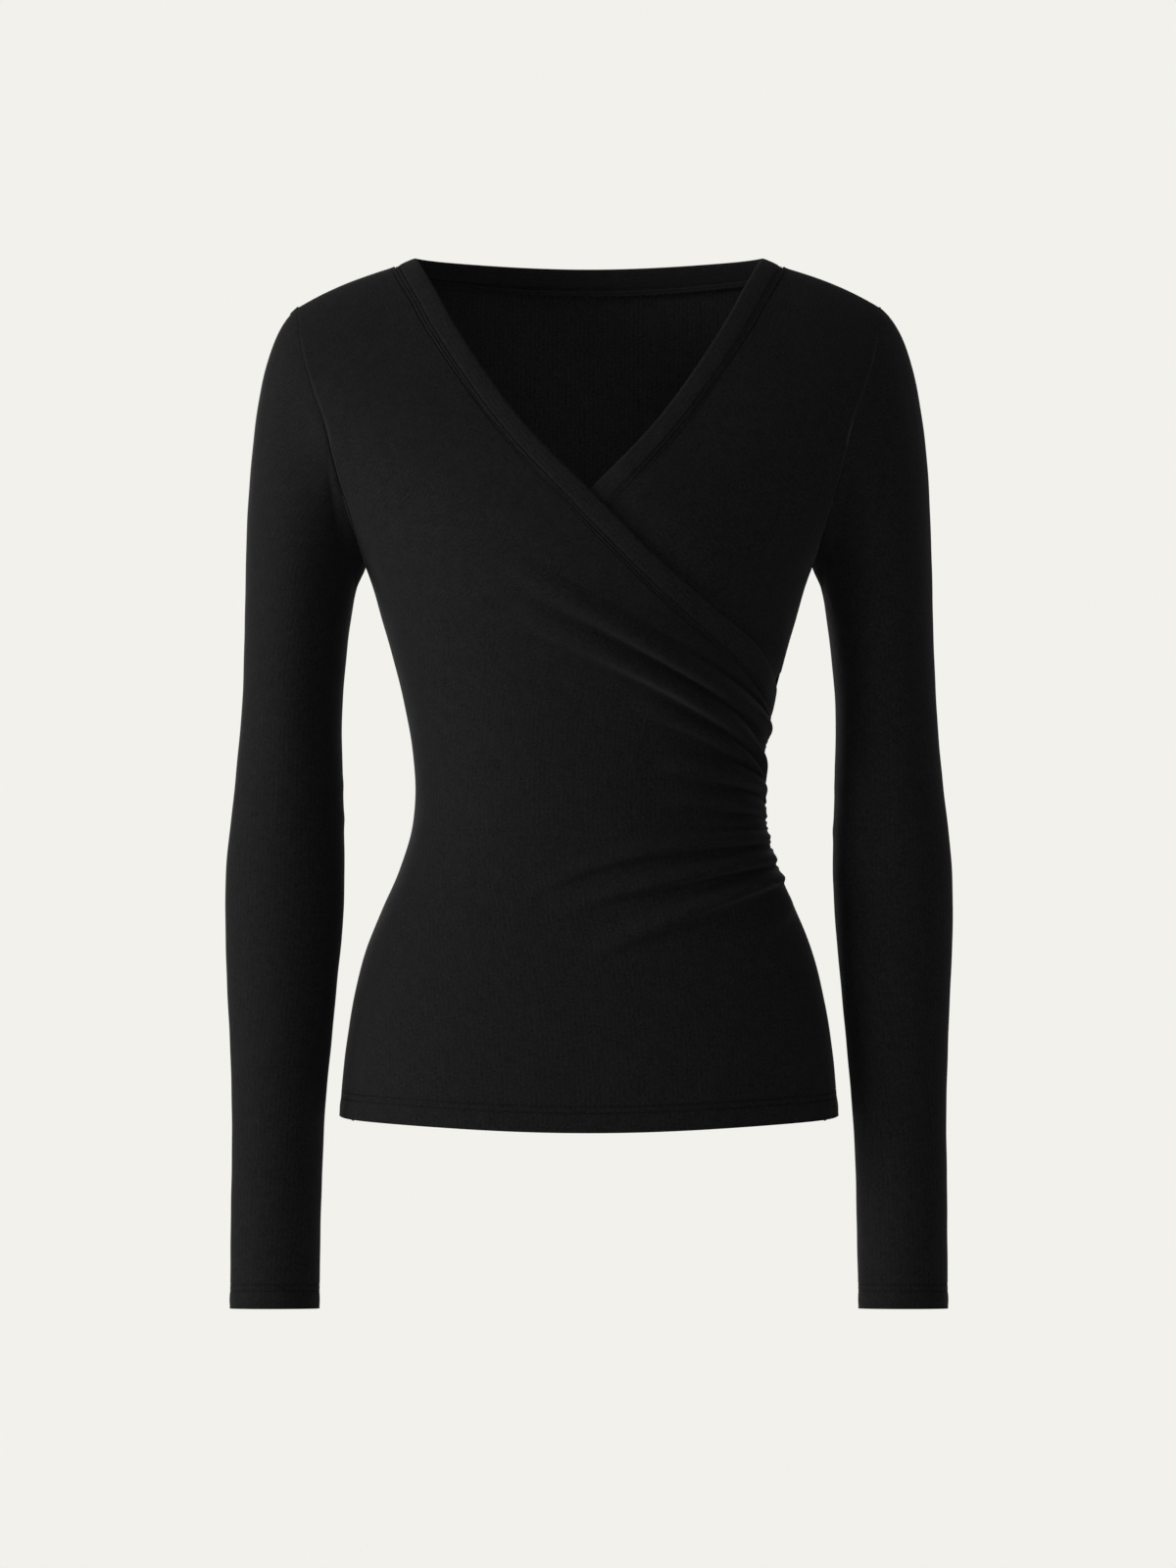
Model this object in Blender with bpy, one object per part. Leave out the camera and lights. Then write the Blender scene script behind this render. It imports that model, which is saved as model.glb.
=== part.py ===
"""A long-sleeved wrap top in fine jersey, filled out as it is worn.

The body is one rounded tube of cloth. The right front crosses over the left front and is
gathered into the left side seam. A folded neckband runs along both front edges and round the
back of the neck. All sizes are in millimetres and become metres when a mesh is made. +Z is
up, -Y is the front, +X is the wearer's left, and the origin is between the two high points
of the shoulders.
"""
import math
from collections import namedtuple

import bmesh
import bpy
from mathutils import Vector

MM = 0.001
WALL = 1.5                # a jersey panel
HEM_WALL = 2.4            # a panel with its turned-up hem
HEM_DEPTH = 17.0
SEAM_GAP = 0.3            # clearance between two pieces that are sewn together
NECK_GAP = 0.4            # the same between the panels and the neckband
BAND_OVER = 0.5           # how far the neckband stands over the panels
BAND_WALL = 2.2
BAND_EDGE_ROUND = 0.6
UNDERLAP_DROP = 3.2       # how far the left front lies under the right front
UNDERLAP_START = 3.0      # it starts to come back up this far above the wrap edge
UNDERLAP_EASE = 30.0      # and is flush with the right front this much higher
BODY_HEM_Z = -546.0
FRONT_HEM_DIP = 2.0       # the front hem is cut lower in the middle
FRONT_HEM_RISE = 1.5      # and drawn up a little on both sides of it
UNDERARM_Z = -195.0
TIP_Z = -31.9             # where the armhole crosses the top of the shoulder

# The body, from the shoulders to the hem: half width, and depth to the front and to the back.
Section = namedtuple("Section", "z width front back")
BODY = [
    Section(0, 285, 50, 64),
    Section(-30, 262, 62, 76),
    Section(-60, 240, 74, 86),
    Section(-115, 198, 97, 93),
    Section(-160, 163, 111, 91),
    Section(-195, 143.5, 116, 88),
    Section(-235, 130.6, 112, 83),
    Section(-275, 119.6, 101, 77),
    Section(-310, 112.6, 92, 72),
    Section(-340, 110.5, 88, 71),
    Section(-365, 112.9, 87, 74),
    Section(-390, 120.5, 88, 80),
    Section(-415, 131.5, 90, 88),
    Section(-440, 141.5, 92, 96),
    Section(-470, 149.3, 95, 103),
    Section(-505, 155, 97, 108),
    Section(-546, 158.8, 98, 110),
]
ROUNDNESS = 2.25          # the exponent of each section's superellipse
SHOULDER_SLOPE = 0.447
SHOULDER_HIGH_X = 114.6
SHOULDER_EASE = 30.0
SHOULDER_BOW = 2.6        # the shoulder line arches up a little between neck and tip
SHOULDER_BOW_SPAN = (126.0, 190.0)
SHOULDER_ROUND = 100.0    # depth below the shoulder line over which the body fills out
SHOULDER_POWER = 0.6

# The wrap edge of the right front: the band's free edge and its seam, by the angle round the
# body from the front middle (towards the wearer's left) and by height.
Edge = namedtuple("Edge", "edge_angle edge_z seam_angle seam_z")
WRAP = [
    Edge(-22.83, 0.0, -26.6, -6.5),
    Edge(-22.6, -3.0, -26.5, -9.8),
    Edge(-22.2, -10.5, -26.2, -18.0),
    Edge(-21.3, -26.0, -25.3, -34.0),
    Edge(-20.0, -47.5, -24.1, -56.0),
    Edge(-17.2, -77.5, -21.4, -85.5),
    Edge(-13.0, -108.0, -17.4, -115.5),
    Edge(-7.4, -133.5, -12.0, -142.0),
    Edge(-1.6, -152.0, -6.2, -162.5),
    Edge(4.1, -168.5, -0.6, -179.5),
    Edge(11.2, -186.5, 6.6, -197.5),
    Edge(19.5, -203.6, 14.8, -215.5),
    Edge(28.8, -219.2, 24.0, -232.0),
    Edge(39.5, -234.2, 35.0, -248.5),
    Edge(51.0, -245.5, 47.5, -263.0),
    Edge(63.5, -258.0, 61.0, -279.0),
    Edge(77.0, -271.0, 76.0, -291.5),
    Edge(90.0, -276.0, 90.0, -298.0),
]
NECK_ROWS = len(WRAP) - 1  # the front panels' rows that end on the neckband, one for each Edge
GATHER_HEAD_ROWS = 3      # rows between the wrap's end and the first row line

# The neckband behind the neck, from the shoulder to the middle.
BackEdge = namedtuple("BackEdge", "edge_x edge_z seam_x seam_z")
BACK_NECK = [
    BackEdge(110.6, 0.0, 125.6, -6.5),
    BackEdge(106.0, 0.2, 119.5, -9.0),
    BackEdge(96.0, 0.3, 106.0, -10.6),
    BackEdge(78.0, 0.4, 85.0, -12.0),
    BackEdge(54.0, 0.3, 58.0, -13.3),
    BackEdge(27.5, 0.2, 29.5, -14.0),
    BackEdge(0.0, 0.2, 0.0, -14.2),
]

# The seam line of an armhole, seen from the front: half width by height.
Armhole = namedtuple("Armhole", "z x")
ARMHOLE = [
    Armhole(TIP_Z, 185.5),
    Armhole(-67, 179),
    Armhole(-90, 172),
    Armhole(-109, 165),
    Armhole(-128, 160),
    Armhole(-148, 155),
    Armhole(-165, 150),
    Armhole(-184, 146),
    Armhole(-195, 143.5),
]
ARMHOLE_TURN = 60.0       # depth at which the sleeve seam's cloth has turned half way round
ARMHOLE_POWER = 1.6       # rows crowd towards the shoulder, where the cloth turns over
NECK_POWER = 0.7          # and open out where they leave the neckband
FAN_ROW = 6               # rows down to this one run straight from the neckband to the
                          # armhole, and the rest fan out between it and the first row line

# Row lines of the right front below the wrap's end. Each runs from the gathered side seam
# round to the armhole or the other side seam, the steeper there the higher its power.
RowLine = namedtuple("RowLine", "seam_z far_z power rows")
GATHERED_ROWS = [
    RowLine(-315, -127, 1.5, 0),
    RowLine(-328, -170, 1.2, 3),
    RowLine(-339, -220, 0.95, 4),
    RowLine(-344, -272, 1.0, 3),
    RowLine(-354, -320, 1.0, 4),
    RowLine(-370, -398, 1.3, 5),
    RowLine(-381, -434, 1.2, 4),
    RowLine(-392, -506, 1.38, 4),
    RowLine(BODY_HEM_Z + HEM_DEPTH, BODY_HEM_Z + HEM_DEPTH, 1.0, 6),
    RowLine(BODY_HEM_Z + HEM_DEPTH - 1.5, BODY_HEM_Z + HEM_DEPTH - 1.5, 1.0, 1),
    RowLine(BODY_HEM_Z, BODY_HEM_Z, 1.0, 1),
]
PLAIN_ROWS = [
    RowLine(-321, -127, 1.5, 0),
    RowLine(-335, -170, 1.2, 3),
    RowLine(-348, UNDERARM_Z, 1.0, 2),
    RowLine(-400, -330, 1.0, 4),
    RowLine(BODY_HEM_Z + HEM_DEPTH, BODY_HEM_Z + HEM_DEPTH, 1.0, 7),
    RowLine(BODY_HEM_Z + HEM_DEPTH - 1.5, BODY_HEM_Z + HEM_DEPTH - 1.5, 1.0, 1),
    RowLine(BODY_HEM_Z, BODY_HEM_Z, 1.0, 1),
]

# Folds that fan out of the gathered seam: height at the seam, how far round the body they
# reach, how tall and how wide they are, and how far they drift down between the row lines.
Fold = namedtuple("Fold", "seam_z span height half_width drift")
FOLDS = [
    Fold(-303.5, 88, 2.6, 4.2, -5.0),
    Fold(-315, 116, 3.8, 5.4, 0.0),
    Fold(-328, 108, 3.5, 5.0, 0.0),
    Fold(-338.5, 94, 3.0, 4.0, 0.0),
    Fold(-345.5, 88, 2.4, 3.6, 0.0),
    Fold(-354, 68, 1.9, 3.6, 0.0),
    Fold(-362, 30, 1.7, 3.4, 0.0),
    Fold(-370, 88, 2.0, 4.2, 0.0),
    Fold(-381, 92, 3.0, 5.0, 0.0),
    Fold(-392.5, 82, 3.2, 5.8, 0.0),
    Fold(-405, 46, 1.8, 6.0, 0.0),
    Fold(-333.5, 26, 1.4, 3.0, 0.0),
    Fold(-349.5, 22, 1.4, 2.8, 0.0),
    Fold(-358, 20, 1.4, 2.6, 0.0),
    Fold(-366, 24, 1.4, 2.8, 0.0),
    Fold(-375.5, 26, 1.5, 3.0, 0.0),
    Fold(-386.5, 24, 1.4, 3.0, 0.0),
    Fold(-398.5, 26, 1.3, 3.2, 0.0),
]
FOLD_RISE_ANGLE = 16.0    # the folds are pinched together towards the seam
FOLD_SEAM_SHARE = 0.4     # what is left of their height there
FOLD_FADE_POWER = 0.8     # how they run out towards their far ends

# Columns of the gathered front, by the share of the way round from the gathered seam.
GATHERED_COLUMNS = [
    0, 0.014, 0.034, 0.062, 0.1, 0.145, 0.195, 0.25, 0.305, 0.36, 0.415, 0.47, 0.525, 0.58,
    0.635, 0.69, 0.745, 0.8, 0.855, 0.91, 0.96, 1,
]
PLAIN_COLUMN_COUNT = 17
SHOULDER_COLUMNS = [0.69, 0.79, 0.9, 1]  # the back's columns on the shoulder, beside the neck's
BACK_ROWS_BELOW = [
    RowLine(-270, -270, 1.0, 3),
    RowLine(-350, -350, 1.0, 4),
    RowLine(-425, -425, 1.0, 4),
    RowLine(BODY_HEM_Z + HEM_DEPTH, BODY_HEM_Z + HEM_DEPTH, 1.0, 4),
    RowLine(BODY_HEM_Z + HEM_DEPTH - 1.5, BODY_HEM_Z + HEM_DEPTH - 1.5, 1.0, 1),
    RowLine(BODY_HEM_Z, BODY_HEM_Z, 1.0, 1),
]
SHOULDER_FADE_ROWS = 12   # back rows that still follow the neck and shoulder line

# A sleeve below the underarm: its middle, half width and half depth by height.
Ring = namedtuple("Ring", "z x y width depth")
SLEEVE = [
    Ring(-211, 183.8, 0, 35.0, 46),
    Ring(-245, 186.6, 0, 33.0, 43),
    Ring(-290, 189.4, 0, 32.0, 40),
    Ring(-336, 191.2, 0, 34.4, 38),
    Ring(-386, 193.2, -2, 37.7, 36),
    Ring(-423, 193.9, -5, 37.3, 34.8),
    Ring(-459.5, 194.8, -8, 34.9, 33),
    Ring(-497, 195.4, -11.5, 32.3, 31),
    Ring(-546.3, 196.5, -16.5, 29.5, 28.5),
    Ring(-597.4, 197.4, -21, 28.5, 26.5),
    Ring(-666, 197.9, -26, 28.1, 25),
]
CUFF_Z = -666.0
CUFF_DEPTH = 15.5
CUFF_TILT = 8.0           # degrees by which the forearm's rings lean back
ELBOW_Z = -330.0
CAP_RINGS = 8
CAP_HALVED_AT = 3         # the cap ring after which every second vertex is dropped
CAP_SEAM_STEP = Vector((0.334, 0, -0.086))  # from the armhole's seam to the sleeve's
CAP_LEAVE = (0.2, 26.0)   # how far the cloth runs outward before it turns down: under, on top
CAP_FALL = (-4.0, -16.0, -12.0)  # and downward: everywhere, more on top, more at front and back
CAP_ARRIVE = (5.0, 84.0)  # how far above the first ring it hangs straight: under, on top
CAP_TURN_RATE = 1.6
SLEEVE_STEPS = [-211, -240, -275, -310, -340, -368, -396, -426, -460, -505, -555, -605,
                CUFF_Z + CUFF_DEPTH, CUFF_Z + CUFF_DEPTH - 1.5, CUFF_Z]

# Jersey in near-black: base colour by piece, as a faceted model shows it.
JERSEY_COLOUR = (0.016, 0.016, 0.018, 1)
BAND_COLOUR = (0.020, 0.020, 0.022, 1)
JERSEY_ROUGHNESS = 0.85


# ---------------------------------------------------------------- curves and the body's form
def along(rows, column, z):
    """A table's column at height z, on a smooth curve through its rows (z falls)."""
    heights = [row[0] for row in rows]
    values = [row[column] for row in rows]
    last = len(rows) - 1
    k = next((i for i in range(last) if z >= heights[i + 1]), last - 1)

    def slope(i):
        low, high = max(i - 1, 0), min(i + 1, last)
        return (values[high] - values[low]) / (heights[high] - heights[low])

    step = heights[k + 1] - heights[k]
    t = (z - heights[k]) / step
    if t < 0:
        return values[0] + slope(0) * (z - heights[0])
    if t > 1:
        return values[last] + slope(last) * (z - heights[last])
    start = (1 + 2 * t) * (1 - t) ** 2 * values[k] + t * (1 - t) ** 2 * step * slope(k)
    end = t * t * (3 - 2 * t) * values[k + 1] - t * t * (1 - t) * step * slope(k + 1)
    return start + end


def through(rows, column, place):
    """A table's column at a fractional row number, on a smooth curve through its rows."""
    last = len(rows) - 1
    k = min(int(place), last - 1)
    t = place - k
    p0, p1, p2, p3 = (rows[min(max(k + i, 0), last)][column] for i in (-1, 0, 1, 2))
    return 0.5 * (2 * p1 + (p2 - p0) * t + (2 * p0 - 5 * p1 + 4 * p2 - p3) * t * t
                  + (3 * p1 - 3 * p2 + p3 - p0) * t ** 3)


def blend(low, high, share):
    return low + (high - low) * share


def smooth(share):
    share = min(max(share, 0.0), 1.0)
    return share * share * (3 - 2 * share)


def half_width(z):
    return along(BODY, 1, z)


def shoulder_line(x):
    """Height of the top of the shoulder over x."""
    start, end = SHOULDER_BOW_SPAN
    share = min(max((abs(x) - start) / (end - start), 0.0), 1.0)
    bow = SHOULDER_BOW * math.sin(math.pi * share)
    return SHOULDER_SLOPE * (SHOULDER_HIGH_X - math.hypot(x, SHOULDER_EASE)) + bow


def body_depth(x, z, side):
    """How far the body reaches forward (side -1) or back (side +1) at x and z."""
    below = min(max((shoulder_line(x) - z) / SHOULDER_ROUND, 0.0), 1.0)
    across = min(abs(x) / half_width(z), 1.0)
    fullness = (1 - across ** ROUNDNESS) ** (1 / ROUNDNESS)
    reach = along(BODY, 2 if side < 0 else 3, z)
    return reach * fullness * (1 - (1 - below) ** 2) ** SHOULDER_POWER


def body_normal(x, z, side):
    """The direction straight out of the body's surface at x and z."""
    tiny = 0.02
    limit = half_width(z) * (1 - 1e-5)
    x = min(max(x, -limit), limit)
    z = min(z, shoulder_line(x) - 2 * tiny)
    d_x = (body_depth(x + tiny, z, side) - body_depth(x - tiny, z, side)) / (2 * tiny)
    d_z = (body_depth(x, z + tiny, side) - body_depth(x, z - tiny, side)) / (2 * tiny)
    return Vector((-d_x, side, -d_z)).normalized()


def surface(x, z, side, in_seam=False):
    """A point of the body and its outward direction; in_seam keeps both in the seam's plane."""
    depth = max(body_depth(x, z, side), SEAM_GAP / 2)
    normal = body_normal(x, z, side)
    if in_seam:
        depth = SEAM_GAP / 2
        normal = Vector((normal.x, 0, normal.z)).normalized()
    return Vector((x, side * depth, z)), normal


# ---------------------------------------------------------------- the wrap edge and underlap
def wrap_place(column, angle):
    """The fractional row of WRAP at which one of its angle columns passes an angle."""
    low, high = 0.0, float(len(WRAP) - 1)
    for _ in range(30):
        middle = (low + high) / 2
        if through(WRAP, column, middle) < angle:
            low = middle
        else:
            high = middle
    return (low + high) / 2


def wrap_edge_z(angle):
    """Height of the right front's free edge at an angle round the body."""
    return through(WRAP, 1, wrap_place(0, angle))


def underlap_drop(angle, z):
    """How deep the left front lies: right under the right front, and flush above its edge."""
    if angle <= WRAP[0].edge_angle:
        return UNDERLAP_DROP
    above = z - wrap_edge_z(angle)
    return UNDERLAP_DROP * (1 - smooth((above - UNDERLAP_START) / UNDERLAP_EASE))


# ---------------------------------------------------------------- meshes
def new_piece(name, mesh_bm, colour):
    """A named object from a bmesh in millimetres, with its own jersey material."""
    bmesh.ops.remove_doubles(mesh_bm, verts=mesh_bm.verts, dist=1e-4)
    bmesh.ops.recalc_face_normals(mesh_bm, faces=mesh_bm.faces)
    bmesh.ops.scale(mesh_bm, vec=(MM, MM, MM), verts=mesh_bm.verts)
    bmesh.ops.triangulate(mesh_bm, faces=mesh_bm.faces)
    mesh = bpy.data.meshes.new(name)
    mesh_bm.to_mesh(mesh)
    mesh_bm.free()
    mesh.shade_smooth()
    material = bpy.data.materials.new(name)
    material.use_nodes = True
    finish = material.node_tree.nodes["Principled BSDF"].inputs
    finish["Base Color"].default_value = colour
    finish["Roughness"].default_value = JERSEY_ROUGHNESS
    finish["Metallic"].default_value = 0
    mesh.materials.append(material)
    piece = bpy.data.objects.new(name, mesh)
    bpy.context.scene.collection.objects.link(piece)
    return piece


def sheet_of(bm, rows):
    """A grid of vertices from rows of points."""
    return [[bm.verts.new(point) for point in row] for row in rows]


def join_strips(bm, first, second, closed=False):
    """Faces between two equally long lines of vertices."""
    count = len(first) if closed else len(first) - 1
    for i in range(count):
        k = (i + 1) % len(first)
        bm.faces.new((first[i], first[k], second[k], second[i]))


def wall_from(outer_rows, inner_rows):
    """A closed sheet of cloth between an outer and an inner grid of points."""
    bm = bmesh.new()
    outer, inner = sheet_of(bm, outer_rows), sheet_of(bm, inner_rows)
    for grid in (outer, inner):
        for upper, lower in zip(grid, grid[1:]):
            join_strips(bm, upper, lower)
    join_strips(bm, outer[0], inner[0])
    join_strips(bm, outer[-1], inner[-1])
    for end in (0, -1):
        join_strips(bm, [row[end] for row in outer], [row[end] for row in inner])
    return bm


# ---------------------------------------------------------------- rows of the front panels
def neck_rows():
    """Angle and height where each neck row meets the panel's side of the neckband seam."""
    rows = []
    last = len(WRAP) - 1
    places = [(half_width(row.seam_z) * math.sin(math.radians(row.seam_angle)), row.seam_z)
              for row in WRAP]
    for j, (x, z) in enumerate(places):
        ahead, behind = places[min(j + 1, last)], places[max(j - 1, 0)]
        run_x, run_z = ahead[0] - behind[0], ahead[1] - behind[1]
        run = math.hypot(run_x, run_z)
        x += NECK_GAP * run_z / run
        z -= NECK_GAP * run_x / run
        if j == 0:
            z = shoulder_line(x)
        if j == NECK_ROWS:
            rows.append((90.0, z))
        else:
            rows.append((math.degrees(math.asin(x / half_width(z))), z))
    return rows


def line_height(line, share):
    """Height of a row line, share of the way round from the gathered seam."""
    return blend(line.seam_z, line.far_z, share ** line.power)


def armhole_angle(z):
    """Angle of the armhole seam at a height (90 at and below the underarm)."""
    if z <= UNDERARM_Z + 0.01:
        return 90.0
    return math.degrees(math.asin(min(along(ARMHOLE, 1, z) / half_width(z), 1.0)))


def head_end(lines, j):
    """Height at which a head row ends on the armhole."""
    head = NECK_ROWS + GATHER_HEAD_ROWS
    first = lines[0].far_z
    if j <= FAN_ROW:
        return blend(TIP_Z, first, (j / head) ** ARMHOLE_POWER)
    return blend(head_end(lines, FAN_ROW), first, (j - FAN_ROW) / (head - FAN_ROW))


def armhole_heights(lines):
    """Heights of the rows' ends on the armhole, from the shoulder tip to the underarm."""
    heights = [head_end(lines, j) for j in range(NECK_ROWS + GATHER_HEAD_ROWS + 1)]
    for line, following in zip(lines, lines[1:]):
        for k in range(1, following.rows + 1):
            z = blend(line.far_z, following.far_z, k / following.rows)
            if z >= UNDERARM_Z - 0.01:
                heights.append(z)
    return heights


def below_shoulder(angle, distance):
    """Height of the point at an angle that lies a distance below the shoulder line."""
    z = TIP_Z
    for _ in range(8):
        z = shoulder_line(half_width(z) * math.sin(math.radians(angle))) - distance
    return z


def straight_height(lines, neck, j, angle):
    """Height on the straight path of a head row, from its neck end to the armhole."""
    near, near_z = neck[j]
    far_z = head_end(lines, j)
    near_x = half_width(near_z) * math.sin(math.radians(near))
    near_below = shoulder_line(near_x) - near_z
    far_below = shoulder_line(along(ARMHOLE, 1, far_z)) - far_z
    share = (near - angle) / (near + armhole_angle(far_z))
    return below_shoulder(angle, blend(near_below, far_below, max(share, 0)))


def fan_height(lines, neck, ends, j, angle):
    """Height on a head row below FAN_ROW, between the row or neckband above and the first line."""
    head = NECK_ROWS + GATHER_HEAD_ROWS
    low = line_height(lines[0], (90 - angle) / (90 + armhole_angle(lines[0].far_z)))
    if angle <= neck[FAN_ROW][0]:
        top, index = straight_height(lines, neck, FAN_ROW, angle), FAN_ROW
    else:
        k = next(i for i in range(NECK_ROWS) if angle <= neck[i + 1][0] + 1e-9)
        (x0, z0), (x1, z1) = ends[k], ends[k + 1]
        start, stop = 0.0, 1.0
        for _ in range(25):
            t = (start + stop) / 2
            if blend(x0, x1, t) < half_width(blend(z0, z1, t)) * math.sin(math.radians(angle)):
                start = t
            else:
                stop = t
        top, index = blend(z0, z1, t), k + t
    share = max((j - index) / (head - index), 0)
    power = blend(1, NECK_POWER, smooth((angle - neck[FAN_ROW][0]) / 20))
    return blend(top, low, share ** power)


def front_rows(lines, columns):
    """Each row of a front as (seam height, [(angle, height), ...]), for the wearer's right."""
    neck = neck_rows()
    ends = [(half_width(z) * math.sin(math.radians(angle)), z) for angle, z in neck]
    rows = []
    for j in range(NECK_ROWS + GATHER_HEAD_ROWS + 1):
        far_z = head_end(lines, j)
        far = -armhole_angle(far_z)
        near, near_z = neck[j] if j <= NECK_ROWS else (
            90.0, blend(neck[-1][1], lines[0].seam_z, (j - NECK_ROWS) / GATHER_HEAD_ROWS))
        row = [(near, near_z)]
        for u in columns[1:-1]:
            angle = blend(near, far, u)
            if j <= FAN_ROW:
                row.append((angle, straight_height(lines, neck, j, angle)))
            else:
                row.append((angle, fan_height(lines, neck, ends, j, angle)))
        row.append((far, far_z))
        rows.append((near_z, row))
    for line, following in zip(lines, lines[1:]):
        for k in range(1, following.rows + 1):
            share = k / following.rows
            far = -armhole_angle(blend(line.far_z, following.far_z, share))
            row = [(blend(90.0, far, u),
                    blend(line_height(line, u), line_height(following, u), share))
                   for u in columns]
            rows.append((blend(line.seam_z, following.seam_z, share), row))
    return rows


def fold_height(seam_z, angle):
    """How far the gathers stand out at an angle, on the row from seam_z."""
    away = 90 - angle
    total = 0.0
    for fold in FOLDS:
        if away >= fold.span:
            continue
        reach = away / fold.span
        offset = abs(seam_z - fold.seam_z - fold.drift * reach) / fold.half_width
        if offset < 1:
            fade = (1 - reach) ** FOLD_FADE_POWER
            pinch = blend(FOLD_SEAM_SHARE, 1, smooth(away / FOLD_RISE_ANGLE))
            crest = 0.5 + 0.5 * math.cos(math.pi * offset)
            total = max(total, fold.height * fade * pinch * crest)
    return total


def hem_share(z):
    """1 where the cloth is doubled by the turned-up hem."""
    return 1.0 if z <= BODY_HEM_Z + HEM_DEPTH - 1 else 0.0


def front_panel(name, rows, hand, lift):
    """A front: hand -1 is cut for the wearer's right, +1 for the left; lift(row, angle, z)."""
    outer_rows, inner_rows = [], []
    last_row, last_column = len(rows) - 1, len(rows[0][1]) - 1
    for j, (seam_z, row) in enumerate(rows):
        outer, inner = [], []
        for i, (angle, z) in enumerate(row):
            x = half_width(z) * math.sin(math.radians(angle))
            in_seam = abs(angle) > 89.99 or (j == 0)
            if j == 0:
                z = shoulder_line(x)
            point, normal = surface(x, z, -1, in_seam)
            if i == last_column and z > UNDERARM_Z:
                point, normal = armhole_point(abs(x), z, -1)
                point.x, normal.x = -point.x, -normal.x
            if j == last_row:
                point.z -= FRONT_HEM_DIP * math.cos(math.radians(angle)) ** 2
                point.z += FRONT_HEM_RISE * math.sin(math.radians(2 * angle)) ** 2
            raised = lift(seam_z, angle, z)
            wall = blend(WALL, HEM_WALL, hem_share(z))
            outer.append(point + normal * raised)
            inner.append(point + normal * (raised - wall))
        outer_rows.append(outer)
        inner_rows.append(inner)
    if hand > 0:
        for grid in (outer_rows, inner_rows):
            for row in grid:
                for point in row:
                    point.x = -point.x
    return new_piece(name, wall_from(outer_rows, inner_rows), JERSEY_COLOUR)


# ---------------------------------------------------------------- armholes and sleeves
def armhole_point(x, z, side):
    """A point of the armhole seam and the direction its wall faces, for the left armhole."""
    depth = max(body_depth(x, z, side), SEAM_GAP / 2)
    middle_z = (TIP_Z + UNDERARM_Z) / 2
    half_height = (TIP_Z - UNDERARM_Z) / 2
    out = Vector((0, side * depth / ARMHOLE_TURN, (z - middle_z) / half_height))
    if depth <= SEAM_GAP / 2:
        out.y = 0
    return Vector((x, side * depth, z)), out.normalized()


def armhole_loop(heights):
    """The left armhole's points and wall directions: down the front and up the back."""
    loop = []
    for side, sequence in ((-1, heights), (1, heights[::-1])):
        for z in sequence:
            loop.append(armhole_point(along(ARMHOLE, 1, z), z, side))
    return loop


def sleeve_ring_point(z, turn):
    """A point of the sleeve's tube and its outward direction (turn 0 outer, 90 degrees front)."""
    ring = Ring(z, *(along(SLEEVE, column, z) for column in (1, 2, 3, 4)))
    lean = math.radians(CUFF_TILT) * smooth((ELBOW_Z - z) / (ELBOW_Z - CUFF_Z))
    across, forward = math.cos(turn), -math.sin(turn)
    point = Vector((ring.x + ring.width * across, ring.y + ring.depth * forward, z))
    point.z -= ring.depth * forward * math.tan(lean)
    normal = Vector((across / ring.width, forward / ring.depth, 0)).normalized()
    return point, normal


def sleeve(name, hand, heights):
    """A set-in sleeve, for hand +1 (left) or -1 (right)."""
    loop = armhole_loop(heights)
    count = len(loop)
    turns = [2 * math.pi * (index + 0.5) / count for index in range(count)]
    outer_rows, inner_rows = [], []
    for k in range(CAP_RINGS):
        share = k / CAP_RINGS
        outer, inner = [], []
        for (seam_point, seam_out), turn in zip(loop, turns):
            start = seam_point + CAP_SEAM_STEP
            end, end_out = sleeve_ring_point(SLEEVE[0].z, turn)
            top = (1 + math.cos(turn)) / 2
            fall = CAP_FALL[0] + CAP_FALL[1] * top ** 2 + CAP_FALL[2] * math.sin(turn) ** 2
            leave = Vector((CAP_LEAVE[0] + CAP_LEAVE[1] * top, 0, fall))
            arrive = Vector((0, 0, CAP_ARRIVE[0] + CAP_ARRIVE[1] * top))
            bends = (start, start + leave, end + arrive, end)
            weights = ((1 - share) ** 3, 3 * share * (1 - share) ** 2,
                       3 * share ** 2 * (1 - share), share ** 3)
            point = sum((bend * weight for bend, weight in zip(bends, weights)), Vector())
            normal = seam_out.lerp(end_out, smooth(share * CAP_TURN_RATE)).normalized()
            outer.append(point)
            inner.append(point - normal * WALL)
        outer_rows.append(outer)
        inner_rows.append(inner)
    for z in SLEEVE_STEPS:
        points = [sleeve_ring_point(z, turn) for turn in turns]
        wall = HEM_WALL if z < CUFF_Z + CUFF_DEPTH - 1 else WALL
        outer_rows.append([point for point, _ in points])
        inner_rows.append([point - normal * wall for point, normal in points])
    bm = bmesh.new()
    grids = []
    for rows in (outer_rows, inner_rows):
        grid = [[bm.verts.new(p) for p in (row if k < CAP_HALVED_AT else row[::2])]
                for k, row in enumerate(rows)]
        for k, (upper, lower) in enumerate(zip(grid, grid[1:])):
            if len(upper) == len(lower):
                join_strips(bm, upper, lower, closed=True)
                continue
            for i in range(len(lower)):
                after = (i + 1) % len(lower)
                bm.faces.new((upper[2 * i], upper[2 * i + 1], upper[2 * after],
                              lower[after], lower[i]))
        grids.append(grid)
    for end in (0, -1):
        join_strips(bm, grids[0][end], grids[1][end], closed=True)
    if hand < 0:
        bmesh.ops.scale(bm, vec=(-1, 1, 1), verts=bm.verts)
    return new_piece(name, bm, JERSEY_COLOUR)


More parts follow.
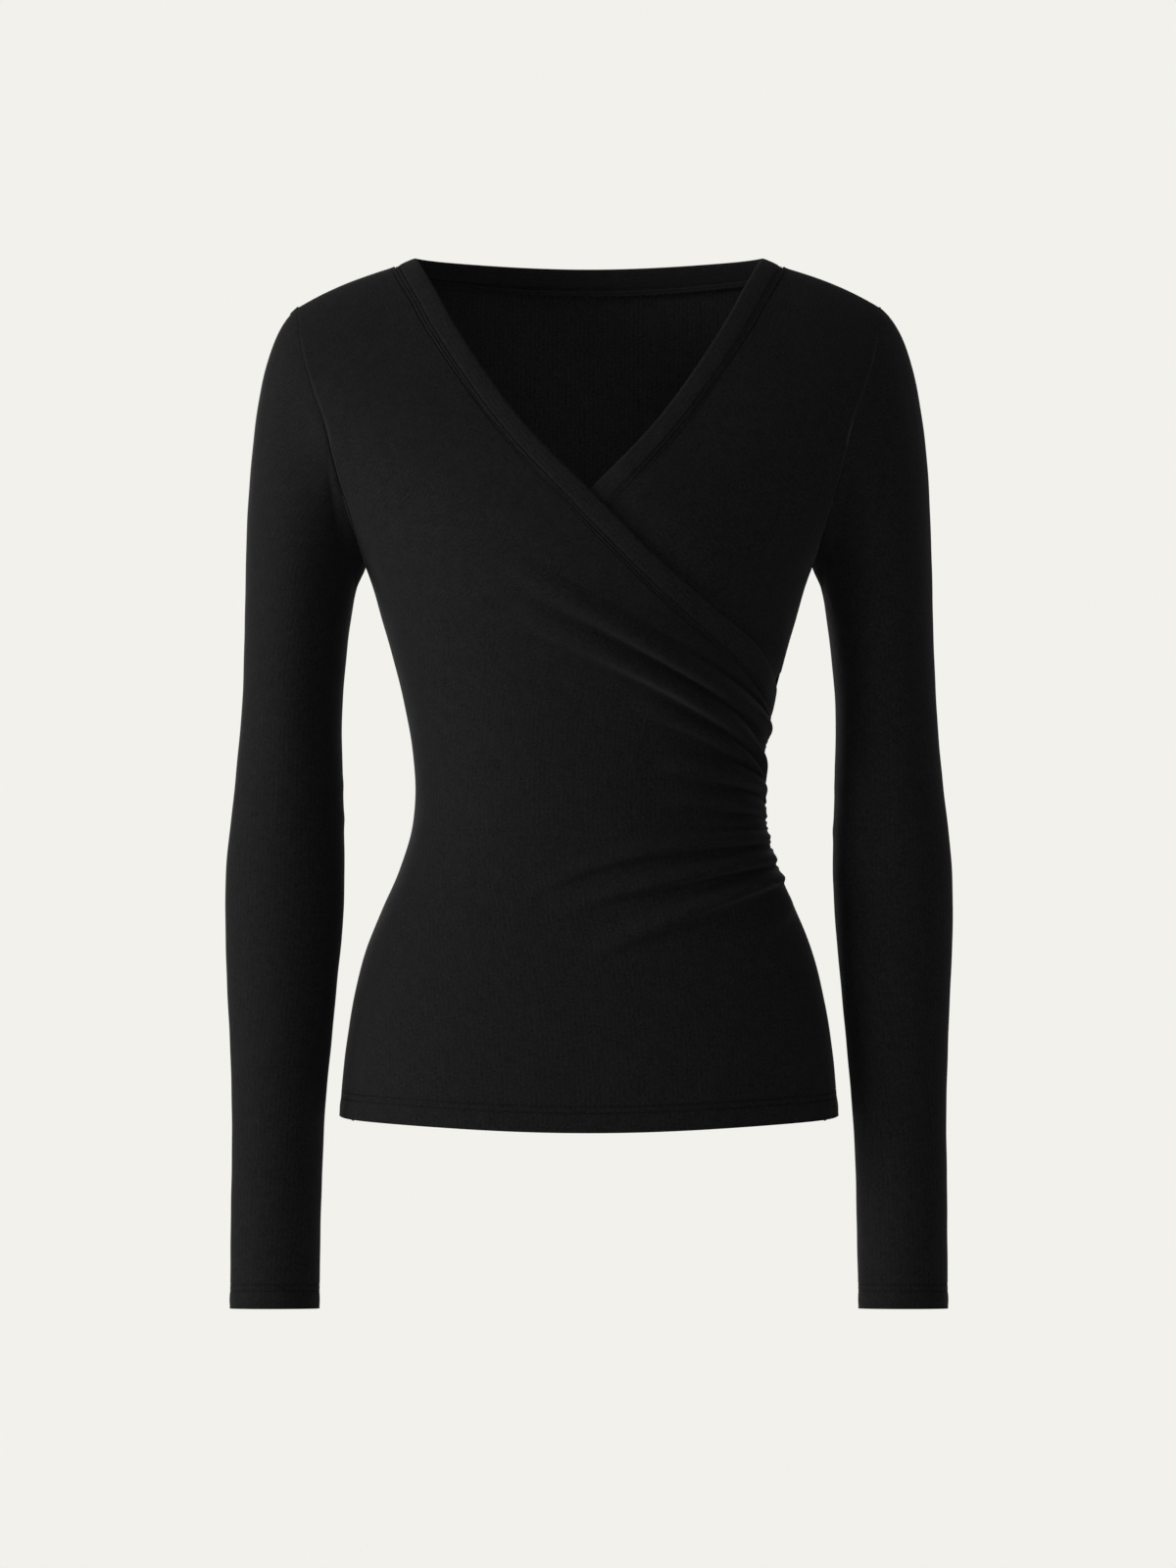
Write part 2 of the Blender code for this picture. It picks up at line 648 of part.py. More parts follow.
# ---------------------------------------------------------------- the back
def back_panel(name, heights):
    """The back, from shoulder to shoulder and down to the hem."""
    tip_angle = armhole_angle(TIP_Z)
    neck = []
    for row in BACK_NECK[::-1]:
        x = row.seam_x + (NECK_GAP if row is BACK_NECK[0] else 0)
        z = shoulder_line(x) if row is BACK_NECK[0] else row.seam_z - NECK_GAP
        neck.append((math.degrees(math.asin(x / half_width(z))), z))
    corner = neck[-1][0]
    half = [angle / tip_angle for angle, _ in neck] + SHOULDER_COLUMNS
    shares = [-u for u in half[:0:-1]] + half

    def top_height(angle):
        away = abs(angle)
        if away >= corner:
            x = half_width(TIP_Z) * math.sin(math.radians(away))
            for _ in range(6):
                x = half_width(shoulder_line(x)) * math.sin(math.radians(away))
            return shoulder_line(x)
        k = next(i for i in range(len(neck) - 1) if away <= neck[i + 1][0])
        return blend(neck[k][1], neck[k + 1][1], (away - neck[k][0]) / (neck[k + 1][0] - neck[k][0]))

    ends = list(heights)
    previous = UNDERARM_Z
    for line in BACK_ROWS_BELOW:
        ends += [blend(previous, line.far_z, (k + 1) / line.rows) for k in range(line.rows)]
        previous = line.far_z
    outer_rows, inner_rows = [], []
    for j, end_z in enumerate(ends):
        far = armhole_angle(end_z)
        fade = 1 - smooth(j / SHOULDER_FADE_ROWS)
        outer, inner = [], []
        for u in shares:
            angle = far * u
            top = top_height(tip_angle * u)
            z = end_z + (top - TIP_Z) * fade
            x = half_width(z) * math.sin(math.radians(angle))
            on_shoulder = abs(u) >= corner / tip_angle - 1e-6
            if on_shoulder and j < SHOULDER_FADE_ROWS:
                for _ in range(6):
                    line_z = shoulder_line(x)
                    z = end_z + (line_z - TIP_Z) * fade
                    x = half_width(z) * math.sin(math.radians(angle))
            if abs(u) == 1:
                z = end_z
                x = math.copysign(along(ARMHOLE, 1, z) if z > UNDERARM_Z else half_width(z), u)
            in_seam = abs(angle) > 89.99 or (j == 0 and on_shoulder)
            if j == 0 and on_shoulder:
                z = shoulder_line(x)
            point, normal = surface(x, z, 1, in_seam)
            if abs(u) == 1 and z > UNDERARM_Z:
                point, normal = armhole_point(abs(x), z, 1)
                point.x, normal.x = math.copysign(point.x, u), math.copysign(normal.x, u)
            wall = blend(WALL, HEM_WALL, hem_share(z))
            outer.append(point)
            inner.append(point - normal * wall)
        outer_rows.append(outer)
        inner_rows.append(inner)
    return new_piece(name, wall_from(outer_rows, inner_rows), JERSEY_COLOUR)


# ---------------------------------------------------------------- the neckband
def band_stations():
    """Points across the band, from the gathered side seam over the neck to the other seam.

    Each station is (free edge, its normal, seam edge, its normal), with the left front's side
    dropped where it passes under the right front.
    """
    stations = []
    for half in (1, -1):
        front = []
        for row in WRAP[:0:-1]:
            pair = []
            for angle, z in ((row.edge_angle, row.edge_z), (row.seam_angle, row.seam_z)):
                x = half_width(z) * math.sin(math.radians(angle))
                point, normal = surface(x, z, -1, angle > 89.99)
                drop = underlap_drop(-angle, z) if half < 0 else 0.0
                point -= normal * drop
                pair += [point, normal]
            front.append(pair)
        shoulder = []
        for x, z in (BACK_NECK[0][:2], BACK_NECK[0][2:]):
            point, normal = surface(x, z, -1, True)
            shoulder += [Vector((-x, 0, z)), Vector((-normal.x, 0, normal.z))]
        front.append(shoulder)
        back = []
        for row in BACK_NECK[1:] if half > 0 else BACK_NECK[1:-1]:
            pair = []
            for x, z in ((row.edge_x, row.edge_z), (row.seam_x, row.seam_z)):
                point, normal = surface(-x, z, 1)
                pair += [point, normal]
            back.append(pair)
        run = front + back
        if half < 0:
            mirrored = [[Vector((-v.x, v.y, v.z)) for v in pair] for pair in reversed(run)]
            stations += mirrored
        else:
            stations += run
    return stations


def neckband(name):
    """The folded band: flat inside and out, with a rounded free edge."""
    bm = bmesh.new()
    rings = []
    for edge, edge_out, seam, seam_out in band_stations():
        across = (edge - seam).normalized()
        round_in = across * BAND_EDGE_ROUND
        low = BAND_OVER - BAND_WALL
        middle = blend(BAND_OVER, low, 0.5)
        ring = (
            seam + seam_out * BAND_OVER,
            edge - round_in + edge_out * BAND_OVER,
            edge + edge_out * middle,
            edge - round_in + edge_out * low,
            seam + seam_out * low,
        )
        rings.append([bm.verts.new(point) for point in ring])
    for first, second in zip(rings, rings[1:]):
        join_strips(bm, first, second, closed=True)
    for end in (rings[0], rings[-1]):
        bm.faces.new(end)
    return new_piece(name, bm, BAND_COLOUR)


# ---------------------------------------------------------------- the top
def build():
    for old in list(bpy.data.objects):
        bpy.data.objects.remove(old, do_unlink=True)

    gathered = front_rows(GATHERED_ROWS, GATHERED_COLUMNS)
    front_panel("front_right", gathered, -1, lambda seam_z, angle, z: fold_height(seam_z, angle))

    plain_columns = [k / (PLAIN_COLUMN_COUNT - 1) for k in range(PLAIN_COLUMN_COUNT)]
    plain = front_rows(PLAIN_ROWS, plain_columns)
    front_panel("front_left", plain, 1, lambda seam_z, angle, z: -underlap_drop(-angle, z))

    heights = armhole_heights(PLAIN_ROWS)
    back_panel("back", heights)
    sleeve("sleeve_left", 1, heights)
    sleeve("sleeve_right", -1, armhole_heights(GATHERED_ROWS))
    neckband("neckband")


build()
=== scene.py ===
"""A long-sleeved wrap top in fine black jersey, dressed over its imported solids.

The pieces follow the order in which the top is sewn: the two fronts, the back, the sleeves,
the neckband, the stitching. Lengths are in millimetres until a mesh is made.
"""
import math
from collections import namedtuple

import bmesh
import bpy
import numpy as np
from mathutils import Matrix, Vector


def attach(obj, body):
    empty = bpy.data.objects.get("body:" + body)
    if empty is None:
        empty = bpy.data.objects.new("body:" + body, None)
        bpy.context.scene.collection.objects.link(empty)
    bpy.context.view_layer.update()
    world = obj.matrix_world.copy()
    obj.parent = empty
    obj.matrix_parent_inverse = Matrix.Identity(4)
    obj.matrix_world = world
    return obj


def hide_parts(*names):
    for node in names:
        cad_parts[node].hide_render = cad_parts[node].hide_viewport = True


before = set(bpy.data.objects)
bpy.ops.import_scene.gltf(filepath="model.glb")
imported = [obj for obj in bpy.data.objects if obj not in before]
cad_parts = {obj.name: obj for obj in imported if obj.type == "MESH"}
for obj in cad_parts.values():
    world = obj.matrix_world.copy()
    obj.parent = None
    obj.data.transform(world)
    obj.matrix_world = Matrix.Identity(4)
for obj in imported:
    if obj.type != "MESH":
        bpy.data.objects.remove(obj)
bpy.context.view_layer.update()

# ------------------------------------------------------------------ right front
# The front that crosses over, in fine viscose jersey. Its wrap edge takes the neckband, and
# the side that reaches the wearer's left is cut half as long again and drawn up on a thread,
# so that folds fan out of the left side seam. The hem is turned up and sewn with twin rows.
MM = 0.001
JERSEY = 0.7              # thickness of one layer
HEM_Z = -546.0
HEM_DEPTH = 17.0
HEM_TOP = HEM_DEPTH + 4   # from here down the rows of cloth run level
HEM_ROWS = (12.0, 16.0)   # heights of the twin stitch rows over the hem
UNDERARM_Z = -195.0
TIP_Z = -31.9             # top of the armhole

# The worn body from shoulders to hem: half width, and depth to the front and to the back.
Section = namedtuple("Section", "z width front back")
BODY = [
    Section(0, 285, 50, 64),
    Section(-30, 262, 62, 76),
    Section(-60, 240, 74, 86),
    Section(-115, 198, 97, 93),
    Section(-160, 163, 111, 91),
    Section(-195, 143.5, 116, 88),
    Section(-235, 130.6, 112, 83),
    Section(-275, 119.6, 101, 77),
    Section(-310, 112.6, 92, 72),
    Section(-340, 110.5, 88, 71),
    Section(-365, 112.9, 87, 74),
    Section(-390, 120.5, 88, 80),
    Section(-415, 131.5, 90, 88),
    Section(-440, 141.5, 92, 96),
    Section(-470, 149.3, 95, 103),
    Section(-505, 155, 97, 108),
    Section(-546, 158.8, 98, 110),
]
ROUNDNESS = 2.25          # 2 would make the body's plan an ellipse
SHOULDER_SLOPE = 0.447    # how far the shoulder line falls for each millimetre outwards
SHOULDER_HIGH_X = 114.6   # where it would pass height 0 without its ease
SHOULDER_EASE = 30.0      # how softly the shoulder line turns over at the middle
SHOULDER_BOW = 2.6        # how far the shoulder line bows up over SHOULDER_BOW_SPAN
SHOULDER_BOW_SPAN = (126.0, 190.0)
SHOULDER_ROUND = 100.0    # height over which the body rounds off towards the shoulder line
SHOULDER_POWER = 0.6

# The wrap edge: the band's free edge and the solids' seam line, by angle and height.
Edge = namedtuple("Edge", "edge_angle edge_z seam_angle seam_z")
WRAP = [
    Edge(-22.83, 0.0, -26.6, -6.5),
    Edge(-22.6, -3.0, -26.5, -9.8),
    Edge(-22.2, -10.5, -26.2, -18.0),
    Edge(-21.3, -26.0, -25.3, -34.0),
    Edge(-20.0, -47.5, -24.1, -56.0),
    Edge(-17.2, -77.5, -21.4, -85.5),
    Edge(-13.0, -108.0, -17.4, -115.5),
    Edge(-7.4, -133.5, -12.0, -142.0),
    Edge(-1.6, -152.0, -6.2, -162.5),
    Edge(4.1, -168.5, -0.6, -179.5),
    Edge(11.2, -186.5, 6.6, -197.5),
    Edge(19.5, -203.6, 14.8, -215.5),
    Edge(28.8, -219.2, 24.0, -232.0),
    Edge(39.5, -234.2, 35.0, -248.5),
    Edge(51.0, -245.5, 47.5, -263.0),
    Edge(63.5, -258.0, 61.0, -279.0),
    Edge(77.0, -271.0, 76.0, -291.5),
    Edge(90.0, -276.0, 90.0, -298.0),
]
SEAM_INTO_BAND = 1.6      # the sewn line lies this far inside the band's outer stitch row

Armhole = namedtuple("Armhole", "z x")
ARMHOLE = [
    Armhole(TIP_Z, 185.5),
    Armhole(-67, 179),
    Armhole(-90, 172),
    Armhole(-109, 165),
    Armhole(-128, 160),
    Armhole(-148, 155),
    Armhole(-165, 150),
    Armhole(-184, 146),
    Armhole(-195, 143.5),
]
ARMHOLE_DEPTH = 60.0      # how far the armhole reaches forward and back, roughly

# Lines along which the cloth of the right front runs from the gathered seam round the body.
ClothLine = namedtuple("ClothLine", "seam_z far_z power")
GATHERED_LINES = [
    ClothLine(-315, -127, 1.5),
    ClothLine(-328, -170, 1.2),
    ClothLine(-339, -220, 0.95),
    ClothLine(-344, -272, 1.0),
    ClothLine(-354, -320, 1.0),
    ClothLine(-370, -398, 1.3),
    ClothLine(-381, -434, 1.2),
    ClothLine(-392, -506, 1.38),
    ClothLine(HEM_Z + HEM_TOP, HEM_Z + HEM_TOP, 1.0),
    ClothLine(HEM_Z, HEM_Z, 1.0),
]
NECK_END = len(WRAP) - 1  # the last cloth line that starts at the neckband
HEAD_END = NECK_END + 3   # the first of GATHERED_LINES
FAN_FROM = 6              # cloth lines beyond this one fan out
ARMHOLE_POWER = 1.6       # above 1 the cloth lines end closer together at the armhole's top
NECK_POWER = 0.7          # below 1 they crowd towards the band, over FAN_EASE degrees
FAN_EASE = 20.0
SETTLING = 12             # rounds in which a height on the shoulder settles
FRONT_HEM_DIP = 2.0       # the hem hangs lower at the middle
FRONT_HEM_RISE = 1.5      # and is drawn up between the middle and the sides
FRONT_HEM_FADE = 60.0     # height over the hem at which that has faded out

# Folds out of the gathered seam: the crest's height at the seam and at its far end, how many
# degrees it reaches round the body and how it bends, then how tall and wide the fold is.
Fold = namedtuple("Fold", "seam_z end_z span bend height half_width")
FOLDS = [
    Fold(-305.0, -232.0, 78, 1.13, 4.8, 4.4),
    Fold(-305.0, -203.0, 112, 1.50, 10.4, 6.4),
    Fold(-338.0, -230.0, 112, 1.03, 10.2, 6.6),
    Fold(-357.0, -286.0, 78, 0.72, 8.4, 5.4),
    Fold(-351.0, -323.5, 68, 0.50, 11.0, 6.6),
    Fold(-358.0, -344.5, 66, 0.50, 8.2, 6.0),
    Fold(-362.5, -360.5, 57, 0.60, 4.4, 4.4),
    Fold(-369.5, -403.0, 108, 3.80, 8.0, 5.2),
    Fold(-382.5, -415.0, 101, 2.40, 9.2, 5.4),
    Fold(-395.0, -440.0, 90, 2.30, 11.0, 5.6),
    Fold(-407.0, -440.0, 52, 1.40, 3.2, 6.0),
    Fold(-315.0, -300.0, 24, 1.00, 1.6, 3.0),
    Fold(-329.0, -318.0, 26, 1.00, 1.8, 3.0),
    Fold(-375.0, -377.0, 28, 1.20, 2.0, 3.0),
    Fold(-391.5, -396.0, 26, 1.20, 2.0, 3.0),
]
FOLD_RISE_ANGLE = 32.0    # degrees from the seam at which a fold has its full height
FOLD_SEAM_SHARE = 0.12    # the share of it that is left at the seam
FOLD_FADE_POWER = 2.6
FOLD_SLANT = 2.0          # the steepest slant that widens a fold
FOLD_SHORT = 0.82         # the folds hang over: the flank under a crest is the shorter one
FOLD_LONG = 1.30
FOLD_SPREAD = 0.45        # how much wider a fold is at its far end
FOLD_FULLNESS = 0.7       # below 1 the folds are fuller and the valleys between them narrower
FOLD_DROOP = 0.14         # how far a crest sinks, as a share of how far it stands out
DEGREE = 1.85             # length of a degree round the waist

# Crinkles right beside the gathering thread, unevenly spaced.
Crinkle = namedtuple("Crinkle", "seam_z span height half_width")
CRINKLES = [
    Crinkle(-303, 7, 0.5, 1.6), Crinkle(-307.5, 10, 0.8, 1.7), Crinkle(-311, 7, 0.6, 1.4),
    Crinkle(-318.5, 9, 0.8, 1.8), Crinkle(-322.5, 12, 0.9, 1.6), Crinkle(-331, 8, 0.7, 1.7),
    Crinkle(-336, 11, 0.9, 1.5), Crinkle(-341.5, 9, 0.8, 1.6), Crinkle(-347.5, 13, 1.1, 1.7),
    Crinkle(-351.5, 10, 1.2, 1.5), Crinkle(-356.5, 14, 1.2, 1.8), Crinkle(-360.5, 9, 1.1, 1.4),
    Crinkle(-364, 11, 1.3, 1.5), Crinkle(-368.5, 13, 1.2, 1.7), Crinkle(-372.5, 10, 1.3, 1.5),
    Crinkle(-377.5, 12, 1.1, 1.6), Crinkle(-383.5, 14, 1.2, 1.8), Crinkle(-388.5, 10, 1.0, 1.6),
    Crinkle(-395, 12, 0.9, 1.9), Crinkle(-402, 9, 0.6, 2.0), Crinkle(-409, 8, 0.4, 2.2),
]


def along(rows, column, z):
    """A table's column at heights z, on a smooth curve through its rows."""
    table = np.array(rows, float)
    heights, values = table[:, 0], table[:, column]
    slopes = np.empty(len(values))
    slopes[1:-1] = (values[2:] - values[:-2]) / (heights[2:] - heights[:-2])
    slopes[0] = (values[1] - values[0]) / (heights[1] - heights[0])
    slopes[-1] = (values[-1] - values[-2]) / (heights[-1] - heights[-2])
    z = np.asarray(z, float)
    inside = np.clip(z, heights[-1], heights[0])
    k = np.clip(np.searchsorted(-heights, -inside, side="right") - 1, 0, len(heights) - 2)
    step = heights[k + 1] - heights[k]
    t = (inside - heights[k]) / step
    start = (1 + 2 * t) * (1 - t) ** 2 * values[k] + t * (1 - t) ** 2 * step * slopes[k]
    end = t * t * (3 - 2 * t) * values[k + 1] - t * t * (1 - t) * step * slopes[k + 1]
    beyond = np.where(z > heights[0], slopes[0] * (z - heights[0]),
                      np.where(z < heights[-1], slopes[-1] * (z - heights[-1]), 0.0))
    return start + end + beyond


def through(rows, column, place):
    """A table's column at fractional row numbers, on a smooth curve through its rows."""
    values = np.array(rows, float)[:, column]
    last = len(values) - 1
    place = np.asarray(place, float)
    k = np.clip(place.astype(int), 0, last - 1)
    t = place - k
    p0, p1, p2, p3 = (values[np.clip(k + i, 0, last)] for i in (-1, 0, 1, 2))
    return 0.5 * (2 * p1 + (p2 - p0) * t + (2 * p0 - 5 * p1 + 4 * p2 - p3) * t * t
                  + (3 * p1 - 3 * p2 + p3 - p0) * t ** 3)


def blend(low, high, share):
    return low + (high - low) * share


def smooth(share):
    share = np.clip(share, 0.0, 1.0)
    return share * share * (3 - 2 * share)


def hump(offset):
    """A rounded hump, 1 at offset 0 and nothing beyond -1 and 1."""
    return 0.5 + 0.5 * np.cos(math.pi * np.clip(offset, -1, 1))


def bell(offset, width):
    return np.exp(-(offset / width) ** 2)


def half_width(z):
    return along(BODY, 1, z)


def shoulder_line(x):
    start, end = SHOULDER_BOW_SPAN
    share = np.clip((np.abs(x) - start) / (end - start), 0.0, 1.0)
    bow = SHOULDER_BOW * np.sin(math.pi * share)
    return SHOULDER_SLOPE * (SHOULDER_HIGH_X - np.hypot(x, SHOULDER_EASE)) + bow


def body_depth(x, z, side):
    """How far the body reaches forward (side -1) or back (side +1)."""
    below = np.clip((shoulder_line(x) - z) / SHOULDER_ROUND, 0.0, 1.0)
    across = np.minimum(np.abs(x) / half_width(z), 1.0)
    fullness = (1 - across ** ROUNDNESS) ** (1 / ROUNDNESS)
    reach = along(BODY, 2 if side < 0 else 3, z)
    return reach * fullness * (1 - (1 - below) ** 2) ** SHOULDER_POWER


def unit(vectors):
    return vectors / np.linalg.norm(vectors, axis=-1, keepdims=True)


def body_surface(x, z, side):
    """Points of the body and the directions straight out of it."""
    tiny = 0.02
    limit = half_width(z) * (1 - 1e-5)
    near_x = np.clip(x, -limit, limit)
    near_z = np.minimum(z, shoulder_line(near_x) - 2 * tiny)
    d_x = body_depth(near_x + tiny, near_z, side) - body_depth(near_x - tiny, near_z, side)
    d_z = body_depth(near_x, near_z + tiny, side) - body_depth(near_x, near_z - tiny, side)
    out = unit(np.stack([-d_x, np.full_like(d_x, side * 2 * tiny), -d_z], axis=-1))
    depth = body_depth(x, z, side)
    return np.stack([x, side * depth, z], axis=-1), out


def sine(degrees):
    return np.sin(np.radians(degrees))


def armhole_angle(z):
    inside = np.clip(along(ARMHOLE, 1, z) / half_width(z), 0.0, 1.0)
    return np.where(z <= UNDERARM_Z + 0.01, 90.0, np.degrees(np.arcsin(inside)))


def sewn_line(edge_x, edge_z, seam_x, seam_z):
    """Where a panel is sewn to the band: a little inside the solids' seam line."""
    share = SEAM_INTO_BAND / np.hypot(edge_x - seam_x, edge_z - seam_z)
    return blend(seam_x, edge_x, share), blend(seam_z, edge_z, share)


def neck_seam(place):
    """Where a front is sewn to the band: x and z by the row of WRAP."""
    edge_angle, edge_z, seam_angle, seam_z = (through(WRAP, k, place) for k in range(4))
    return sewn_line(half_width(edge_z) * sine(edge_angle), edge_z,
                     half_width(seam_z) * sine(seam_angle), seam_z)


def neck_angle(place):
    x, z = neck_seam(place)
    return np.degrees(np.arcsin(np.clip(x / half_width(z), -1.0, 1.0)))


def head_end(place):
    """Height at which a cloth line that starts at the neckband ends on the armhole."""
    first = GATHERED_LINES[0].far_z
    straight = blend(TIP_Z, first, (np.minimum(place, FAN_FROM) / HEAD_END) ** ARMHOLE_POWER)
    at_fan = blend(TIP_Z, first, (FAN_FROM / HEAD_END) ** ARMHOLE_POWER)
    fan = blend(at_fan, first, (place - FAN_FROM) / (HEAD_END - FAN_FROM))
    return np.where(place <= FAN_FROM, straight, fan)


def straight_height(place, angle):
    """Height of a cloth line near the shoulder, which keeps its way under the shoulder line."""
    near_x, near_z = neck_seam(place)
    near = neck_angle(place)
    far_z = head_end(place)
    near_below = np.maximum(shoulder_line(near_x) - near_z, 0)
    far_below = shoulder_line(along(ARMHOLE, 1, far_z)) - far_z
    share = np.clip((near - angle) / (near + armhole_angle(far_z)), 0, 1)
    below = blend(near_below, far_below, share)
    z = np.full(np.broadcast(place, angle).shape, TIP_Z)
    for _ in range(SETTLING):
        z = shoulder_line(half_width(z) * sine(angle)) - below
    return z


def first_line(angle):
    line = GATHERED_LINES[0]
    share = np.clip((90 - angle) / (90 + armhole_angle(np.array(line.far_z))), 0, 1)
    return blend(line.seam_z, line.far_z, share ** line.power)


NECK_PLACES = np.linspace(0, NECK_END, 1500)
NECK_ANGLES = neck_angle(NECK_PLACES)
GROWING = 300             # from here on NECK_ANGLES only grows


def fan_height(place, angle):
    """Height of a cloth line that fans out between the shoulder, the band and the first line."""
    fan_angle = neck_angle(np.array(float(FAN_FROM)))
    band_place = np.interp(angle, NECK_ANGLES[GROWING:], NECK_PLACES[GROWING:])
    _, band_z = neck_seam(band_place)
    beside = angle <= fan_angle
    top = np.where(beside, straight_height(np.array(float(FAN_FROM)), angle), band_z)
    index = np.where(beside, float(FAN_FROM), band_place)
    share = np.clip((place - index) / (HEAD_END - index), 0, 1)
    power = blend(1, NECK_POWER, smooth((angle - fan_angle) / FAN_EASE))
    return blend(top, first_line(angle), share ** power)


def cloth_line(lines, place, share):
    """Angle, height and seam height of the cloth at a line and a share of the way round."""
    head = np.minimum(place, HEAD_END)
    neck_place = np.minimum(head, NECK_END)
    _, end_z = neck_seam(neck_place)
    past = np.clip((head - NECK_END) / (HEAD_END - NECK_END), 0, 1)
    seam_z = blend(end_z, lines[0].seam_z, past)
    near = np.where(head < NECK_END, neck_angle(neck_place), 90.0)
    far = -armhole_angle(head_end(head))
    angle = blend(near, far, share)
    z = np.where(head <= FAN_FROM, straight_height(np.minimum(head, FAN_FROM), angle),
                 fan_height(np.maximum(head, FAN_FROM), angle))
    z = np.where(share <= 0, seam_z, np.where(share >= 1, head_end(head), z))

    last = len(lines) - 2
    k = np.clip((place - HEAD_END).astype(int), 0, last)
    t = place - HEAD_END - k
    table = np.array(lines, float)
    upper, lower = table[k], table[np.minimum(k + 1, last + 1)]
    far_z = blend(upper[..., 1], lower[..., 1], t)
    low_angle = blend(90.0, -armhole_angle(far_z), share)
    low_z = blend(blend(upper[..., 0], upper[..., 1], share ** upper[..., 2]),
                  blend(lower[..., 0], lower[..., 1], share ** lower[..., 2]), t)
    low_seam = blend(upper[..., 0], lower[..., 0], t)
    down = place > HEAD_END
    return (np.where(down, low_angle, angle), np.where(down, low_z, z),
            np.where(down, low_seam, seam_z))


def fold_lift(seam_z, angle, z):
    """How far the gathers stand out of the right front."""
    away = 90 - angle
    total = np.zeros(np.broadcast(seam_z, angle).shape)
    for fold in FOLDS:
        reach = np.clip(away / fold.span, 1e-3, 1)
        run = fold.end_z - fold.seam_z
        crest_z = fold.seam_z + run * reach ** fold.bend
        slant = run * fold.bend * reach ** (fold.bend - 1) / (fold.span * DEGREE)
        width = fold.half_width * (1 + FOLD_SPREAD * reach)
        offset = (z - crest_z) / (width * np.sqrt(1 + np.minimum(slant ** 2, FOLD_SLANT ** 2)))
        offset = offset / np.where(offset < 0, FOLD_SHORT, FOLD_LONG)
        fade = 1 - reach ** FOLD_FADE_POWER
        pinch = blend(FOLD_SEAM_SHARE, 1, smooth(away / FOLD_RISE_ANGLE))
        crest = fold.height * fade * pinch * hump(offset) ** FOLD_FULLNESS
        total = np.maximum(total, crest)
    for crinkle in CRINKLES:
        fade = 1 - smooth(away / crinkle.span)
        offset = (seam_z - crinkle.seam_z) / crinkle.half_width
        total = total + crinkle.height * fade * hump(offset)
    return total


# The back and the sleeves read their waves at places of their own, so that nothing matches
# across a seam.
def waviness(a, b):
    """The slight unevenness of cloth over a soft form, from -1 to 1 at places a, b."""
    return (0.36 * np.sin(a / 17.3 + 1.3 * np.sin(b / 41.0) + 0.4)
            + 0.30 * np.sin(b / 23.7 - 0.9 * np.sin(a / 33.0) + 2.1)
            + 0.20 * np.sin((a + b) / 11.9 + 4.4)
            + 0.14 * np.sin((a - 1.7 * b) / 8.3 + 0.7))


def uneven_wave(length, fine, sway, coarse):
    """A wave whose pace varies along its length."""
    return np.sin(length / fine + sway * np.sin(length / coarse))


# How the cloth turns round a hem's fold: height over the edge, and how far in it lies.
HEM_FOLD = [(0.6, 0.0), (0.2, -0.15), (0.0, -0.55), (0.0, -1.05), (0.2, -1.45), (0.6, -1.6)]
HEM_LAYER = -1.6
INSIDE_LIFT = 0.3         # how far the turned-up layer lies off the outer one's reverse
# A low form along an edge: how far it stands out, how far from the edge, and how wide it is.
Relief = namedtuple("Relief", "lift place width")
HEM_ROLL = Relief(0.30, 6.0, 4.0)
HEM_PUCKER = Relief(0.16, 8.0, 5.0)
ROW_DEPTH = 0.28          # how deep a stitch row pulls the cloth in
ROW_WIDTH = 0.9
TUCKS = (0.7, 1.8, 3.5, 6.0)   # how deep the seam allowances turn in
SHOULDER_TUCK = np.array([0, 0.05, -1.0])   # the way a front's shoulder allowance turns
SEAM_SINK = 0.16          # how deep a plain seam is sunk
SEAM_SOFT = 0.9           # and how far beside it that shows
SEAM_ACROSS = 0.15        # share of its way forward or back that a side allowance keeps
NECK_ROW = Relief(-0.50, 2.3, 0.8)     # the stitch row, by its distance from the neck seam
NECK_RIDGE = Relief(0.45, 0.9, 0.7)    # the allowance under the cloth between row and seam
WAVES = 0.35              # how uneven the cloth is
WAVES_FADE = 40.0         # height over the hem at which it is fully so
MIRROR = np.array([-1, 1, 1])


def formed(distance, form):
    return form.lift * bell(distance - form.place, form.width)


def seam_sink(distance):
    """How deep the cloth lies beside a plain seam."""
    return SEAM_SINK * bell(distance, SEAM_SOFT)


def turned_relief(height, wave, rows, roll, pucker):
    """A turned-up edge: sunk stitch rows, a soft roll under them, and slight puckers."""
    dents = sum(ROW_DEPTH * bell(height - row, ROW_WIDTH) for row in rows)
    inside = smooth((rows[1] + 3 - height) / 4)
    return inside * (formed(height, roll) + wave * formed(height, pucker)) - dents


def hem_relief(height, length):
    return turned_relief(height, uneven_wave(length, 2.9, 1.6, 13.0), HEM_ROWS,
                         HEM_ROLL, HEM_PUCKER)


def hem_sway(angle, over_hem):
    """How far the front's hem leaves the level."""
    rise = FRONT_HEM_RISE * sine(2 * angle) ** 2 - FRONT_HEM_DIP * np.cos(np.radians(angle)) ** 2
    return rise * smooth((HEM_DEPTH + FRONT_HEM_FADE - over_hem) / FRONT_HEM_FADE)


def evenly(start, stop, step):
    return np.linspace(start, stop, max(int(round(abs(stop - start) / step)), 1) + 1)


def spaced(points, count):
    """Fractional indices of count places at equal distances along a line of points."""
    run = np.r_[0, np.cumsum(np.linalg.norm(np.diff(points, axis=0), axis=-1))]
    return np.interp(np.linspace(0, run[-1], count), run, np.arange(len(points)))


